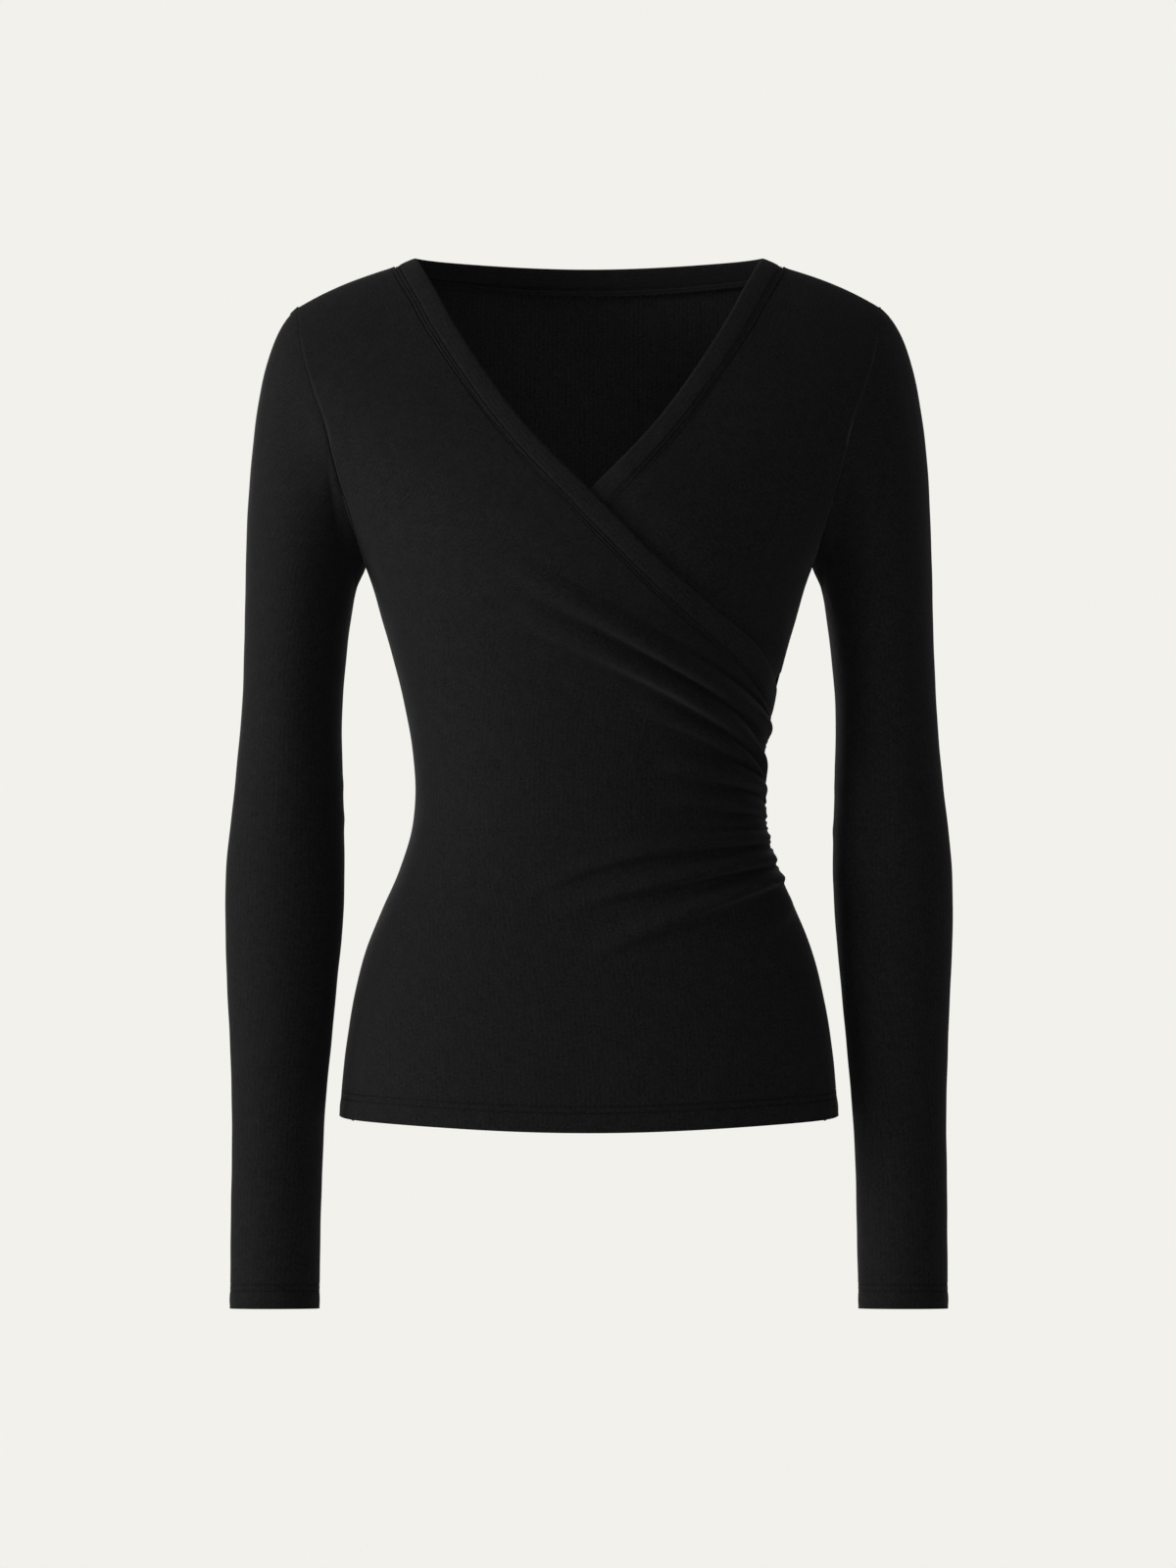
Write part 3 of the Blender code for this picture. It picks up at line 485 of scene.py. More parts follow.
def lengths(points, axis):
    """Distance run along rows (axis 1) or columns (axis 0) of a grid of points."""
    steps = np.linalg.norm(np.diff(points, axis=axis), axis=-1)
    start = np.zeros_like(steps[:, :1] if axis == 1 else steps[:1])
    return np.concatenate([start, np.cumsum(steps, axis=axis)], axis=axis)


def add(name, data):
    piece = bpy.data.objects.new(name, data)
    bpy.context.scene.collection.objects.link(piece)
    return piece


def cloth(name, points, material, wall=JERSEY, flip=False, closed=False):
    """A sheet of jersey through a grid of places on its right side, with its cut as its UVs."""
    rows, columns = points.shape[:2]
    bm = bmesh.new()
    bmesh.ops.create_grid(bm, x_segments=columns - 1, y_segments=rows - 1, size=1)
    if flip:
        bmesh.ops.reverse_faces(bm, faces=bm.faces)
    mesh = bpy.data.meshes.new(name)
    bm.to_mesh(mesh)
    bm.free()
    mesh.vertices.foreach_set("co", (points * MM).ravel())
    across = lengths(points, 1)
    across -= across[:, columns // 2:columns // 2 + 1]
    down = -lengths(points, 0)
    corners = np.empty(len(mesh.loops), int)
    mesh.loops.foreach_get("vertex_index", corners)
    layer = mesh.uv_layers.new(name="cloth")
    cut = np.stack([across, down], axis=-1).reshape(-1, 2)[corners] * MM
    layer.uv.foreach_set("vector", cut.ravel())
    if closed:
        bm = bmesh.new()
        bm.from_mesh(mesh)
        bmesh.ops.remove_doubles(bm, verts=bm.verts, dist=1e-6)
        bm.to_mesh(mesh)
        bm.free()
    mesh.shade_smooth()
    mesh.materials.append(material)
    # The inner face takes the reverse jersey, whose paler tint is painted light on the shaded
    # inside.
    mesh.materials.append(reverse_jersey_painted_lighter)
    piece = add(name, mesh)
    thick = piece.modifiers.new("thickness", "SOLIDIFY")
    thick.thickness = wall * MM
    thick.offset = -1
    thick.material_offset = 1
    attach(piece, "root")
    return piece


class Value:
    """A shader value that takes part in sums."""

    def __init__(self, tree, socket):
        self.tree, self.socket = tree, socket

    def _maths(self, operation, first, second):
        node = self.tree.nodes.new("ShaderNodeMath")
        node.operation = operation
        for slot, value in zip(node.inputs, (first, second)):
            self._feed(slot, value)
        return Value(self.tree, node.outputs[0])

    def _feed(self, slot, value):
        if isinstance(value, Value):
            self.tree.links.new(value.socket, slot)
        else:
            slot.default_value = value

    def __add__(self, other):
        return self._maths("ADD", self, other)

    def __radd__(self, other):
        return self._maths("ADD", other, self)

    def __sub__(self, other):
        return self._maths("SUBTRACT", self, other)

    def __rmul__(self, other):
        return self._maths("MULTIPLY", other, self)

    def node(self, kind, settings=(), **sockets):
        """Any other node: its settings first, then its sockets by name."""
        node = self.tree.nodes.new(kind)
        for key, value in dict(settings).items():
            setattr(node, key, value)
        for key, value in sockets.items():
            self._feed(node.inputs[key.replace("_", " ")], value)
        return Value(self.tree, node.outputs[0])

    def into(self, shader, name):
        self.tree.links.new(self.socket, shader.inputs[name])


def new_material(name):
    """A material, its shader, and its places on the object and on the cut."""
    material = bpy.data.materials.new(name)
    material.use_nodes = True
    tree = material.node_tree
    coordinates = tree.nodes.new("ShaderNodeTexCoord")
    place, cut = (Value(tree, coordinates.outputs[kind]) for kind in ("Object", "UV"))
    return material, tree.nodes["Principled BSDF"], place, cut


def shaded(colour, shade):
    return shade.node("ShaderNodeVectorMath", {"operation": "SCALE"}, Vector=colour, Scale=shade)


Jersey = namedtuple("Jersey", "tint mottle wales sheen roughness")
FACE = Jersey(tint=(0.0126, 0.0126, 0.0141), mottle=2.8, wales=0.14, sheen=0.10, roughness=0.86)
BAND = Jersey(tint=(0.0148, 0.0148, 0.0162), mottle=2.5, wales=0.14, sheen=0.10, roughness=0.84)
# The reverse face is tinted nearly twice as pale as the face: painted light, so that the shaded
# inside of the top reads lighter.
REVERSE_PAINTED_LIGHTER = Jersey(tint=(0.0240, 0.0240, 0.0243), mottle=2.2, wales=0.2, sheen=0.05, roughness=0.9)
SHEEN_TINT = (0.86, 0.87, 0.92, 1)
WALE_SCALE = 105.0


def jersey(name, finish):
    """Fine black jersey: fibres and wales along the cloth, a soft nap, faint mottling."""
    material, shader, place, cut = new_material(name)
    fibres = cut.node("ShaderNodeMapping", Vector=cut, Scale=(480, 1000, 1))
    fibre = cut.node("ShaderNodeTexNoise", Vector=fibres, Scale=1.0, Detail=2.0, Roughness=0.6)
    fleck = cut.node("ShaderNodeTexNoise", Vector=place, Scale=680.0, Detail=2.0, Roughness=0.8)
    cloud = cut.node("ShaderNodeTexNoise", Vector=place, Scale=130.0, Detail=4.0, Roughness=0.62)
    wale = cut.node("ShaderNodeTexWave", {"wave_type": "BANDS", "bands_direction": "X"},
                    Vector=cut.node("ShaderNodeMapping", Vector=cut, Scale=(1, 0.12, 1)),
                    Scale=WALE_SCALE, Distortion=1.6, Detail=2.0, Detail_Scale=1.5)

    grain = 0.45 * fibre + 0.40 * fleck + 0.15 * cloud
    shade = 1 + finish.mottle * 2 * (grain - 0.5) + finish.wales * (wale - 0.5)
    shaded(finish.tint, shade).into(shader, "Base Color")
    (finish.roughness + 0.10 * (fibre - 0.5)).into(shader, "Roughness")
    nap = 0.45 * fibre + 0.35 * fleck + 0.20 * wale
    bump = cut.node("ShaderNodeBump", Height=nap, Strength=0.6, Distance=0.0004)
    bump.into(shader, "Normal")
    shader.inputs["Specular IOR Level"].default_value = 0.25
    shader.inputs["Sheen Weight"].default_value = finish.sheen
    shader.inputs["Sheen Roughness"].default_value = 0.42
    shader.inputs["Sheen Tint"].default_value = SHEEN_TINT
    return material


face_jersey = jersey("black_jersey", FACE)
reverse_jersey_painted_lighter = jersey("black_jersey_reverse_painted_light", REVERSE_PAINTED_LIGHTER)


HEM_STEP = 0.9            # distance between the rows of cloth where an edge is turned up
GATHER_ROWS = (15, 15, 19, 18, 22, 15, 14, 44)   # rows between one of GATHERED_LINES and the next


def row_places(neck_rows, fan_step, rows, hem_step):
    """Cloth lines of a front: at the neck, in the fan below it, down the seam and in the hem."""
    points, _ = body_surface(*neck_seam(NECK_PLACES), -1)
    parts = [np.interp(spaced(points, neck_rows), np.arange(len(NECK_PLACES)), NECK_PLACES),
             evenly(NECK_END, HEAD_END, fan_step)[1:]]
    for line, count in enumerate(rows, HEAD_END):
        parts.append(np.linspace(line, line + 1, count + 1)[1:])
    heights = np.r_[evenly(HEM_TOP, 1.5, hem_step)[1:], 1.0]
    parts.append(HEAD_END + len(rows) + 1 - heights / HEM_TOP)
    return np.concatenate(parts)


def turned_up(depth):
    """The rows of a turned-up edge: height over it, and how far in each lies."""
    return np.array(HEM_FOLD + [(rise, HEM_LAYER) for rise in evenly(2, depth, 2.5)])


def turn_hem(angle, z):
    """Adds a panel's turned-up hem: angles, heights, and how far in each row lies."""
    fold = turned_up(HEM_DEPTH)
    hem_angle = np.repeat(angle[-1:], len(fold), axis=0)
    hem_z = np.repeat(HEM_Z + fold[:, :1], z.shape[1], axis=1)
    inset = np.r_[np.zeros(len(z)), fold[:, 1]][:, None]
    return np.vstack([angle, hem_angle]), np.vstack([z, hem_z]), inset


def allowance(edge, turn):
    """Rows of cloth that lead from deep inside up to a seam."""
    return [edge + turn * depth for depth in TUCKS[::-1]]


def with_sides(points, out):
    """A panel with the allowances of its side seams turned in."""
    first = allowance(points[:, :1], seam_turn(out[:, :1]))
    last = allowance(points[:, -1:], seam_turn(out[:, -1:]))
    return np.concatenate(first + [points] + last[::-1], axis=1)


def from_sides(points):
    """The distance run from the first side seam, and from the nearer of the two."""
    away = lengths(points, 1)
    return away, np.minimum(away, away[:, -1:] - away)


def front(name, lines, places, shares, hand, lift, droop=0.0):
    """A front panel; hand -1 is cut for the wearer's right and +1 for the left."""
    place, share = np.meshgrid(places, shares, indexing="ij")
    angle, z, seam_z = cloth_line(lines, place, share)
    angle, z, inset = turn_hem(angle, z)
    seam_z = np.vstack([seam_z, z[len(seam_z):]])
    x = half_width(z) * sine(angle)
    z[0] = shoulder_line(x[0])
    points, out = body_surface(x, z, -1)
    over_hem = z - HEM_Z
    gathers = lift(seam_z, angle, z)
    raised = gathers + np.where(inset == 0, hem_relief(over_hem, angle * 2.3), INSIDE_LIFT) + inset
    raised += WAVES * waviness(angle * 2.0, z) * smooth(over_hem / WAVES_FADE)
    points = points + out * raised[..., None]
    points[..., 2] += hem_sway(angle, over_hem) - droop * gathers

    away, from_seam = from_sides(points)
    at_neck = np.pad(places <= NECK_END, (0, len(z) - len(places)))[:, None]
    row = (formed(away, NECK_ROW) + formed(away, NECK_RIDGE)) * at_neck
    points = points + out * (row - seam_sink(from_seam))[..., None]
    grid = with_sides(points, out)
    grid = np.concatenate(allowance(grid[:1], SHOULDER_TUCK) + [grid], axis=0)
    if hand > 0:
        grid = grid * MIRROR
    return cloth(name, grid, face_jersey, flip=hand > 0)


def seam_turn(out):
    """The way a side seam's allowance turns in: nearly straight across the body."""
    inward = -out.copy()
    inward[..., 1] *= SEAM_ACROSS
    return unit(inward)


right_shares = np.unique(np.r_[evenly(0, 0.014, 0.0014), evenly(0.014, 0.09, 0.0036),
                               evenly(0.09, 0.36, 0.0066), evenly(0.36, 0.982, 0.0108),
                               evenly(0.982, 1, 0.003)])
right_front = front("right_front", GATHERED_LINES,
                    row_places(92, 0.16, GATHER_ROWS, HEM_STEP), right_shares, -1,
                    fold_lift, FOLD_DROOP)
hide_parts("front_right")

# ------------------------------------------------------------------ left front
# The front underneath. It runs from the left shoulder down under the right front to the right
# side seam, plain and flat, and only its upper part shows beside the neckband.
UNDERLAP_DROP = 3.2       # how deep it lies under the right front
UNDERLAP_START = 3.0      # height over the wrap's edge up to which it is that deep
UNDERLAP_EASE = (30.0, 7.0)   # how soon it is flush again: in front, and at the side seam
UNDERLAP_SIDE = (60.0, 88.0)  # angles between which the one turns into the other
PLAIN_LINES = [
    ClothLine(-321, -127, 1.5),
    ClothLine(-335, -170, 1.2),
    ClothLine(-348, UNDERARM_Z, 1.0),
    ClothLine(-400, -330, 1.0),
    ClothLine(HEM_Z + HEM_TOP, HEM_Z + HEM_TOP, 1.0),
    ClothLine(HEM_Z, HEM_Z, 1.0),
]
EDGE_ANGLES = through(WRAP, 0, NECK_PLACES)


def underlap_drop(angle, z):
    """How deep the left front lies: under the right front, and flush above its edge."""
    edge_z = through(WRAP, 1, np.interp(angle, EDGE_ANGLES, NECK_PLACES))
    above = np.where(angle <= EDGE_ANGLES[0], -1.0, z - edge_z)
    start, end = UNDERLAP_SIDE
    ease = blend(*UNDERLAP_EASE, smooth((angle - start) / (end - start)))
    return UNDERLAP_DROP * (1 - smooth((above - UNDERLAP_START) / ease))


left_shares = np.unique(np.r_[evenly(0, 0.021, 0.003), evenly(0.021, 0.982, 0.0098),
                              evenly(0.982, 1, 0.003)])
left_front = front("left_front", PLAIN_LINES, row_places(100, 0.5, (8, 6, 20, 26), 1.6),
                   left_shares, 1, lambda seam_z, angle, z: -underlap_drop(-angle, z))
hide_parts("front_left")

# ------------------------------------------------------------------ back
# One plain panel from shoulder to shoulder, with the back of the neck scooped out for the
# band. The gathered side seam draws a few folds into it, and it rucks a little at the waist.
BackEdge = namedtuple("BackEdge", "edge_x edge_z seam_x seam_z")
BACK_NECK = [
    BackEdge(110.6, 0.0, 125.6, -6.5),
    BackEdge(106.0, 0.2, 119.5, -9.0),
    BackEdge(96.0, 0.3, 106.0, -10.6),
    BackEdge(78.0, 0.4, 85.0, -12.0),
    BackEdge(54.0, 0.3, 58.0, -13.3),
    BackEdge(27.5, 0.2, 29.5, -14.0),
    BackEdge(0.0, 0.2, 0.0, -14.2),
]
SHOULDER_FADE = 12        # cloth lines that still follow the shoulder and the neck
SHOULDER_STEP = 2.6       # distance between lines over the rounded shoulder
SHOULDER_LINES = 13
BACK_WAVES = 0.4
BACK_DEGREE = 1.9         # length of a degree round the back
CREASE_BOW = 0.05         # how far a crease bows, as a share of its length
CREASE_TAPER = 1.2

# Soft folds on the back, by their ends: angle from the back's middle and height.
Crease = namedtuple("Crease", "angle_0 z_0 angle_1 z_1 height half_width")
BACK_CREASES = [
    Crease(88, -352, 40, -338, 2.8, 4.5),
    Crease(89, -366, 52, -361, 2.2, 4.0),
    Crease(88, -380, 34, -392, 3.0, 5.0),
    Crease(88, -330, 58, -312, 2.0, 4.5),
    Crease(87, -401, 60, -417, 2.0, 5.0),
    Crease(38, -322, -30, -330, 2.4, 7.0),
    Crease(22, -343, -46, -349, 2.8, 6.5),
    Crease(-12, -365, -70, -357, 2.1, 7.5),
    Crease(-72, -318, -40, -333, 1.7, 5.5),
    Crease(-62, -150, -38, -205, 2.0, 9.0),
    Crease(60, -146, 33, -196, 2.3, 9.5),
]


def creased(creases, angle, z, degree):
    """How far soft folds stand out, each tapering to its ends."""
    total = 0.0
    for crease in creases:
        run_a = (crease.angle_1 - crease.angle_0) * degree
        run_z = crease.z_1 - crease.z_0
        span = math.hypot(run_a, run_z)
        off_a, off_z = (angle - crease.angle_0) * degree, z - crease.z_0
        run = (off_a * run_a + off_z * run_z) / span ** 2
        arch = np.sin(math.pi * np.clip(run, 0, 1))
        beside = (off_a * run_z - off_z * run_a) / span + CREASE_BOW * span * arch
        total = total + crease.height * arch ** CREASE_TAPER * bell(beside, crease.half_width)
    return total


def back_seam(place):
    """Where the back is sewn to the band: x and z by the row of BACK_NECK."""
    return sewn_line(*(through(BACK_NECK, column, place) for column in range(4)))


def back_heights():
    """Heights at which the back's cloth lines end on the armhole and down the side seams."""
    steps = np.arange(SHOULDER_LINES) * SHOULDER_STEP / BODY[2].back
    shoulder = TIP_Z - SHOULDER_ROUND / 2 * steps ** (1 / SHOULDER_POWER)
    waist_top, waist_end = -310, -400
    return np.r_[shoulder, evenly(shoulder[-1], UNDERARM_Z, 3.0)[1:],
                 evenly(UNDERARM_Z, waist_top, 3.2)[1:], evenly(waist_top, waist_end, 1.8)[1:],
                 evenly(waist_end, HEM_Z + HEM_TOP, 3.4)[1:],
                 HEM_Z + evenly(HEM_TOP, 1.0, HEM_STEP)[1:]]


def back():
    neck_x, neck_z = back_seam(np.linspace(len(BACK_NECK) - 1, 0, 400))
    neck_z[-1] = shoulder_line(neck_x[-1])
    neck_angles = np.degrees(np.arcsin(neck_x / half_width(neck_z)))
    tip = float(armhole_angle(np.array(TIP_Z)))
    corner = neck_angles[-1] / tip
    shares = np.r_[evenly(0, corner, 0.019), evenly(corner, 0.984, 0.016)[1:],
                   evenly(0.984, 1, 0.004)[1:]]
    shares = np.r_[-shares[:0:-1], shares]

    ends = back_heights()[:, None]
    lines = np.linspace(0, HEAD_END, 400)
    fade = 1 - smooth(np.interp(-ends, -head_end(lines), lines) / SHOULDER_FADE)
    angle = armhole_angle(ends) * shares
    on_neck = np.interp(np.abs(tip * shares), neck_angles, neck_z)
    on_shoulder = np.abs(shares) >= corner - 1e-9
    z = ends + (on_neck - TIP_Z) * fade
    for _ in range(SETTLING):
        line = shoulder_line(half_width(z) * sine(angle))
        z = np.where(on_shoulder, ends + (line - TIP_Z) * fade, z)
    z = np.where(np.abs(shares) == 1, ends, z)
    angle, z, inset = turn_hem(angle, z)

    points, out = body_surface(half_width(z) * sine(angle), z, 1)
    over_hem = z - HEM_Z
    raised = np.where(inset == 0, hem_relief(over_hem, angle * 2.5 + 40), INSIDE_LIFT) + inset
    raised += BACK_WAVES * waviness(angle * 2.1 + 60, z + 35) * smooth(over_hem / WAVES_FADE)
    raised += creased(BACK_CREASES, angle, z, BACK_DEGREE) * (inset == 0)
    points = points + out * raised[..., None]
    _, from_seam = from_sides(points)
    points = points - out * seam_sink(from_seam)[..., None]

    grid = with_sides(points, out)
    seated = np.pad(on_shoulder, len(TUCKS), constant_values=True)[None, :, None]
    out_row = np.pad(out[:1], ((0, 0), (len(TUCKS), len(TUCKS)), (0, 0)), mode="edge")
    turn = np.where(seated, SHOULDER_TUCK * np.array([1, -1, 1]), -out_row)
    grid = np.concatenate(allowance(grid[:1], turn) + [grid], axis=0)
    return cloth("back_panel", grid, face_jersey)


back_piece = back()
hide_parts("back")

# ------------------------------------------------------------------ sleeves
# Two long set-in sleeves, each one piece of jersey closed by a seam under the arm, with the
# elbow slightly bent. The cuff is turned up and sewn with twin rows like the hem.
Ring = namedtuple("Ring", "z x y width depth")
SLEEVE = [
    Ring(-211, 183.8, 0, 35.0, 46),
    Ring(-245, 186.6, 0, 33.0, 43),
    Ring(-290, 189.4, 0, 32.0, 40),
    Ring(-336, 191.2, 0, 34.4, 38),
    Ring(-386, 193.2, -2, 37.7, 36),
    Ring(-423, 193.9, -5, 37.3, 34.8),
    Ring(-459.5, 194.8, -8, 34.9, 33),
    Ring(-497, 195.4, -11.5, 32.3, 31),
    Ring(-546.3, 196.5, -16.5, 29.5, 28.5),
    Ring(-597.4, 197.4, -21, 28.5, 26.5),
    Ring(-666, 197.9, -26, 28.1, 25),
]
CUFF_Z = -666.0
CUFF_DEPTH = 15.5
CUFF_ROWS = (11.0, 15.0)
CUFF_ROLL = Relief(0.25, 5.5, 4.0)
CUFF_PUCKER = Relief(0.12, 7.0, 5.0)
CUFF_LOOSE = 0.25         # how far the turned-up layer lies off the sleeve's reverse
CUFF_TILT = 8.0           # degrees by which the forearm's rings lean back
ELBOW_Z = -330.0
CAP_SEAM_STEP = np.array([0.18, 0, -0.05])   # from the body's edge to the sleeve's
CAP_TUCK = 6.7            # how far the seam allowance leans towards the body's middle
CAP_ROWS = 58
CAP_POWER = 1.15          # above 1 the rows lie closer together at the seam
# How the cap leaves the seam outwards and down, and how it arrives at the tube: at the underarm,
# then what is added towards the shoulder, and for the fall at the front and the back.
CAP_LEAVE = (0.2, 26.0)
CAP_FALL = (-4.0, -16.0, -12.0)
CAP_ARRIVE = (5.0, 84.0)
UNDERARM_FOLD = 5.0       # depth of the fold where the sleeve leaves the body under the arm
UNDERARM_FOLD_Z = -138.0  # where on the armhole it starts
UNDERARM_FOLD_RISE = 45.0
UNDERARM_FOLD_RUN = (2.0, 26.0)        # from the seam: how soon it is deep, and how far it runs
UNDERARM_INWARD = -0.35   # how far it leans towards the body
SLEEVE_COLUMNS = 112
SLEEVE_GIRTH = 30.0       # radius that stands for the sleeve's beside its seam
SLEEVE_DEGREE = BACK_DEGREE / 2.6
CREASE_SHARE = 0.38       # the share of a crease's height that shows on a sleeve

# Creases of a sleeve: turn round the arm (0 outside, 90 front, 180 inside) and height.
SLEEVE_CREASES = [
    Crease(200, -214, 262, -262, 1.3, 6.0),
    Crease(160, -216, 112, -252, 0.9, 5.5),
    Crease(205, -246, 275, -286, 1.0, 6.5),
    Crease(128, -352, 196, -336, 1.2, 4.5),
    Crease(150, -366, 232, -372, 1.3, 5.0),
    Crease(118, -388, 190, -398, 0.9, 5.5),
    Crease(215, -352, 290, -376, 0.7, 6.0),
    Crease(196, -418, 262, -436, 0.7, 6.5),
    Crease(60, -560, 150, -578, 0.45, 5.0),
    Crease(188, -590, 262, -582, 0.6, 4.5),
    Crease(20, -612, 110, -604, 0.4, 4.5),
    Crease(220, -634, 300, -628, 0.5, 4.0),
]
# Heights round half an armhole at which the cloth lines of the body end.
LOOP_HEIGHTS = np.r_[head_end(np.arange(HEAD_END + 1.0)), -141.3, -155.7, -170.0, -182.5,
                     UNDERARM_Z][:, None]


def sleeve_ring(z, turn):
    """Points of the sleeve's tube at heights z and turns round it."""
    x, y, width, depth = (along(SLEEVE, column, z) for column in (1, 2, 3, 4))
    lean = math.radians(CUFF_TILT) * smooth((ELBOW_Z - z) / (ELBOW_Z - CUFF_Z))
    forward = -np.sin(turn)
    return np.stack([x + width * np.cos(turn), y + depth * forward,
                     z - depth * forward * np.tan(lean)], axis=-1)


def armhole_seam(turn):
    """The armhole's seam line and the way straight out of its loop, by the sleeve's turn."""
    half = len(LOOP_HEIGHTS)
    share = turn / (2 * math.pi)
    row = np.clip(np.minimum(share, 1 - share) * 2 * half - 0.5, 0, half - 1)
    z = through(LOOP_HEIGHTS, 0, row)
    x = along(ARMHOLE, 1, z)
    least = 0.05
    y = np.where(share < 0.5, -np.maximum(body_depth(x, z, -1), least),
                 np.maximum(body_depth(x, z, 1), least))
    up = (z - (TIP_Z + UNDERARM_Z) / 2) / ((TIP_Z - UNDERARM_Z) / 2)
    out = unit(np.stack([np.zeros_like(y), y / ARMHOLE_DEPTH, up], axis=-1))
    return np.stack([x, y, z], axis=-1), out


def grid_normals(points):
    """The directions out of a tube of points whose first and last columns meet."""
    wrapped = np.concatenate([points[:, -2:-1], points, points[:, 1:2]], axis=1)
    around = wrapped[:, 2:] - wrapped[:, :-2]
    down = np.gradient(points, axis=0)
    return unit(np.cross(around, down))


def sleeve_form(turn, heights):
    """A smooth sleeve, a cap that swings from the armhole to a tube, and the run from its seam."""
    seam, _ = armhole_seam(turn)
    start = seam + CAP_SEAM_STEP
    end = sleeve_ring(np.full_like(turn, SLEEVE[0].z), turn)
    top = (1 + np.cos(turn)) / 2
    fall = CAP_FALL[0] + CAP_FALL[1] * top ** 2 + CAP_FALL[2] * np.sin(turn) ** 2
    leave = np.stack([CAP_LEAVE[0] + CAP_LEAVE[1] * top, 0 * top, fall], axis=-1)
    climb = end - sleeve_ring(np.full_like(turn, SLEEVE[0].z - 1), turn)
    arrive = climb * (CAP_ARRIVE[0] + CAP_ARRIVE[1] * top)[:, None]
    share = (evenly(0, 1, 1 / CAP_ROWS) ** CAP_POWER)[:-1, None, None]
    cap = ((1 - share) ** 3 * start + 3 * share * (1 - share) ** 2 * (start + leave)
           + 3 * share ** 2 * (1 - share) * (end + arrive) + share ** 3 * end)
    points = np.concatenate([cap, sleeve_ring(heights[:, None], turn[None, :])], axis=0)

    run = lengths(points, 0)
    steep, long = UNDERARM_FOLD_RUN
    fold = UNDERARM_FOLD * smooth((UNDERARM_FOLD_Z - seam[:, 2]) / UNDERARM_FOLD_RISE)
    fold = fold * smooth(run / steep) * (1 - smooth((run - steep) / long))
    inward = np.stack([np.full_like(turn, UNDERARM_INWARD), np.sin(turn), 0 * turn], axis=-1)
    return points + fold[..., None] * inward, run


def sleeve_relief(turn, heights, points, run, hand, creases):
    """How far the cloth of a sleeve stands out of its form."""
    over_cuff = np.full(len(points), np.inf)
    over_cuff[-len(heights):] = heights - CUFF_Z
    over_cuff = over_cuff[:, None]
    around, z = np.degrees(turn), points[..., 2]
    raised = turned_relief(over_cuff, uneven_wave(around, 5.1, 1.4, 31.0), CUFF_ROWS,
                           CUFF_ROLL, CUFF_PUCKER)
    raised = raised + WAVES * waviness(around * 0.6 + 20 * hand, z) * smooth(over_cuff / WAVES_FADE)
    raised += CREASE_SHARE * creased(creases, around, z, SLEEVE_DEGREE)
    raised -= 2 * seam_sink((turn - math.pi) * SLEEVE_GIRTH)
    return raised - seam_sink(run)


def sleeve(name, hand, creases):
    turn = np.linspace(0, 2 * math.pi, SLEEVE_COLUMNS + 1)
    heights = np.r_[evenly(SLEEVE[0].z, CUFF_Z + CUFF_DEPTH + 4, 3.0),
                    CUFF_Z + evenly(CUFF_DEPTH + 4, 1.0, HEM_STEP)[1:]]
    points, run = sleeve_form(turn, heights)
    out = grid_normals(points)
    points = points + out * sleeve_relief(turn, heights, points, run, hand, creases)[..., None]

    _, seam_out = armhole_seam(turn)
    tuck = -unit(seam_out + np.array([CAP_TUCK, 0, 0]))
    turned = [sleeve_ring(np.full((1, len(turn)), CUFF_Z + rise), turn[None, :])
              + out[-1:] * (depth + CUFF_LOOSE) for rise, depth in turned_up(CUFF_DEPTH)]
    grid = np.concatenate(allowance(points[:1], tuck) + [points] + turned, axis=0)
    grid[:, -1] = grid[:, 0]
    if hand < 0:
        grid = grid * MIRROR
    return cloth(name, grid, face_jersey, flip=hand < 0, closed=True)


def round_arm(creases, shift, drop):
    """Creases for the other arm: the same kind, each in a place of its own."""
    moved = []
    for number, crease in enumerate(creases):
        move, low = shift * math.sin(2.1 * number + 1), drop * math.cos(1.7 * number)
        moved.append(crease._replace(angle_0=crease.angle_0 + move, angle_1=crease.angle_1 + move,
                                     z_0=crease.z_0 + low, z_1=crease.z_1 + low))
    return moved


left_sleeve = sleeve("left_sleeve", 1, SLEEVE_CREASES)
right_sleeve = sleeve("right_sleeve", -1, round_arm(SLEEVE_CREASES, 14, 9))
for piece, node in ((left_sleeve, "sleeve_left"), (right_sleeve, "sleeve_right")):
    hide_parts(node)

# ------------------------------------------------------------------ neckband
# A strip of the same jersey, folded lengthwise and sewn along the wrap edges and round the
# back of the neck. Its folded edge is free, and a twin row of stitches straddles its seam.
BAND_LIFT = 0.5           # how far its outer side stands out over the body
BAND_THICK = 2.1          # of the strip folded over, with the air between its layers
BAND_LAYER = 0.55         # thickness of one layer
BAND_RIPPLE = 0.10
BAND_STATIONS = 470
BAND_STEP = 2.2           # distance between two of them
BAND_SOFTENING = 10       # rounds that smooth the band's way over the shoulder seams
NEAR_ROW = 2.0            # distance of the stitch row on the band from the sewn line

# Across the folded strip, from its seam over the front to the fold and back: share of the
# width, and height between its inner (0) and its outer side (1).
BAND_SECTION = [
    (0.0, -0.6), (0.0, 0.35), (0.02, 0.80), (0.065, 1.06), (0.133, 0.70), (0.19, 0.98),
    (0.27, 1.08), (0.38, 1.13), (0.52, 1.14), (0.66, 1.12), (0.79, 1.08), (0.88, 1.02),
    (0.94, 0.92), (0.98, 0.72), (1.0, 0.45), (0.985, 0.2), (0.94, 0.04), (0.86, -0.04),
    (0.66, -0.06), (0.42, -0.05), (0.2, -0.03), (0.05, -0.01), (0.0, -0.09), (-0.05, -0.05),
    (-0.14, -0.07), (-0.27, -0.05),
]


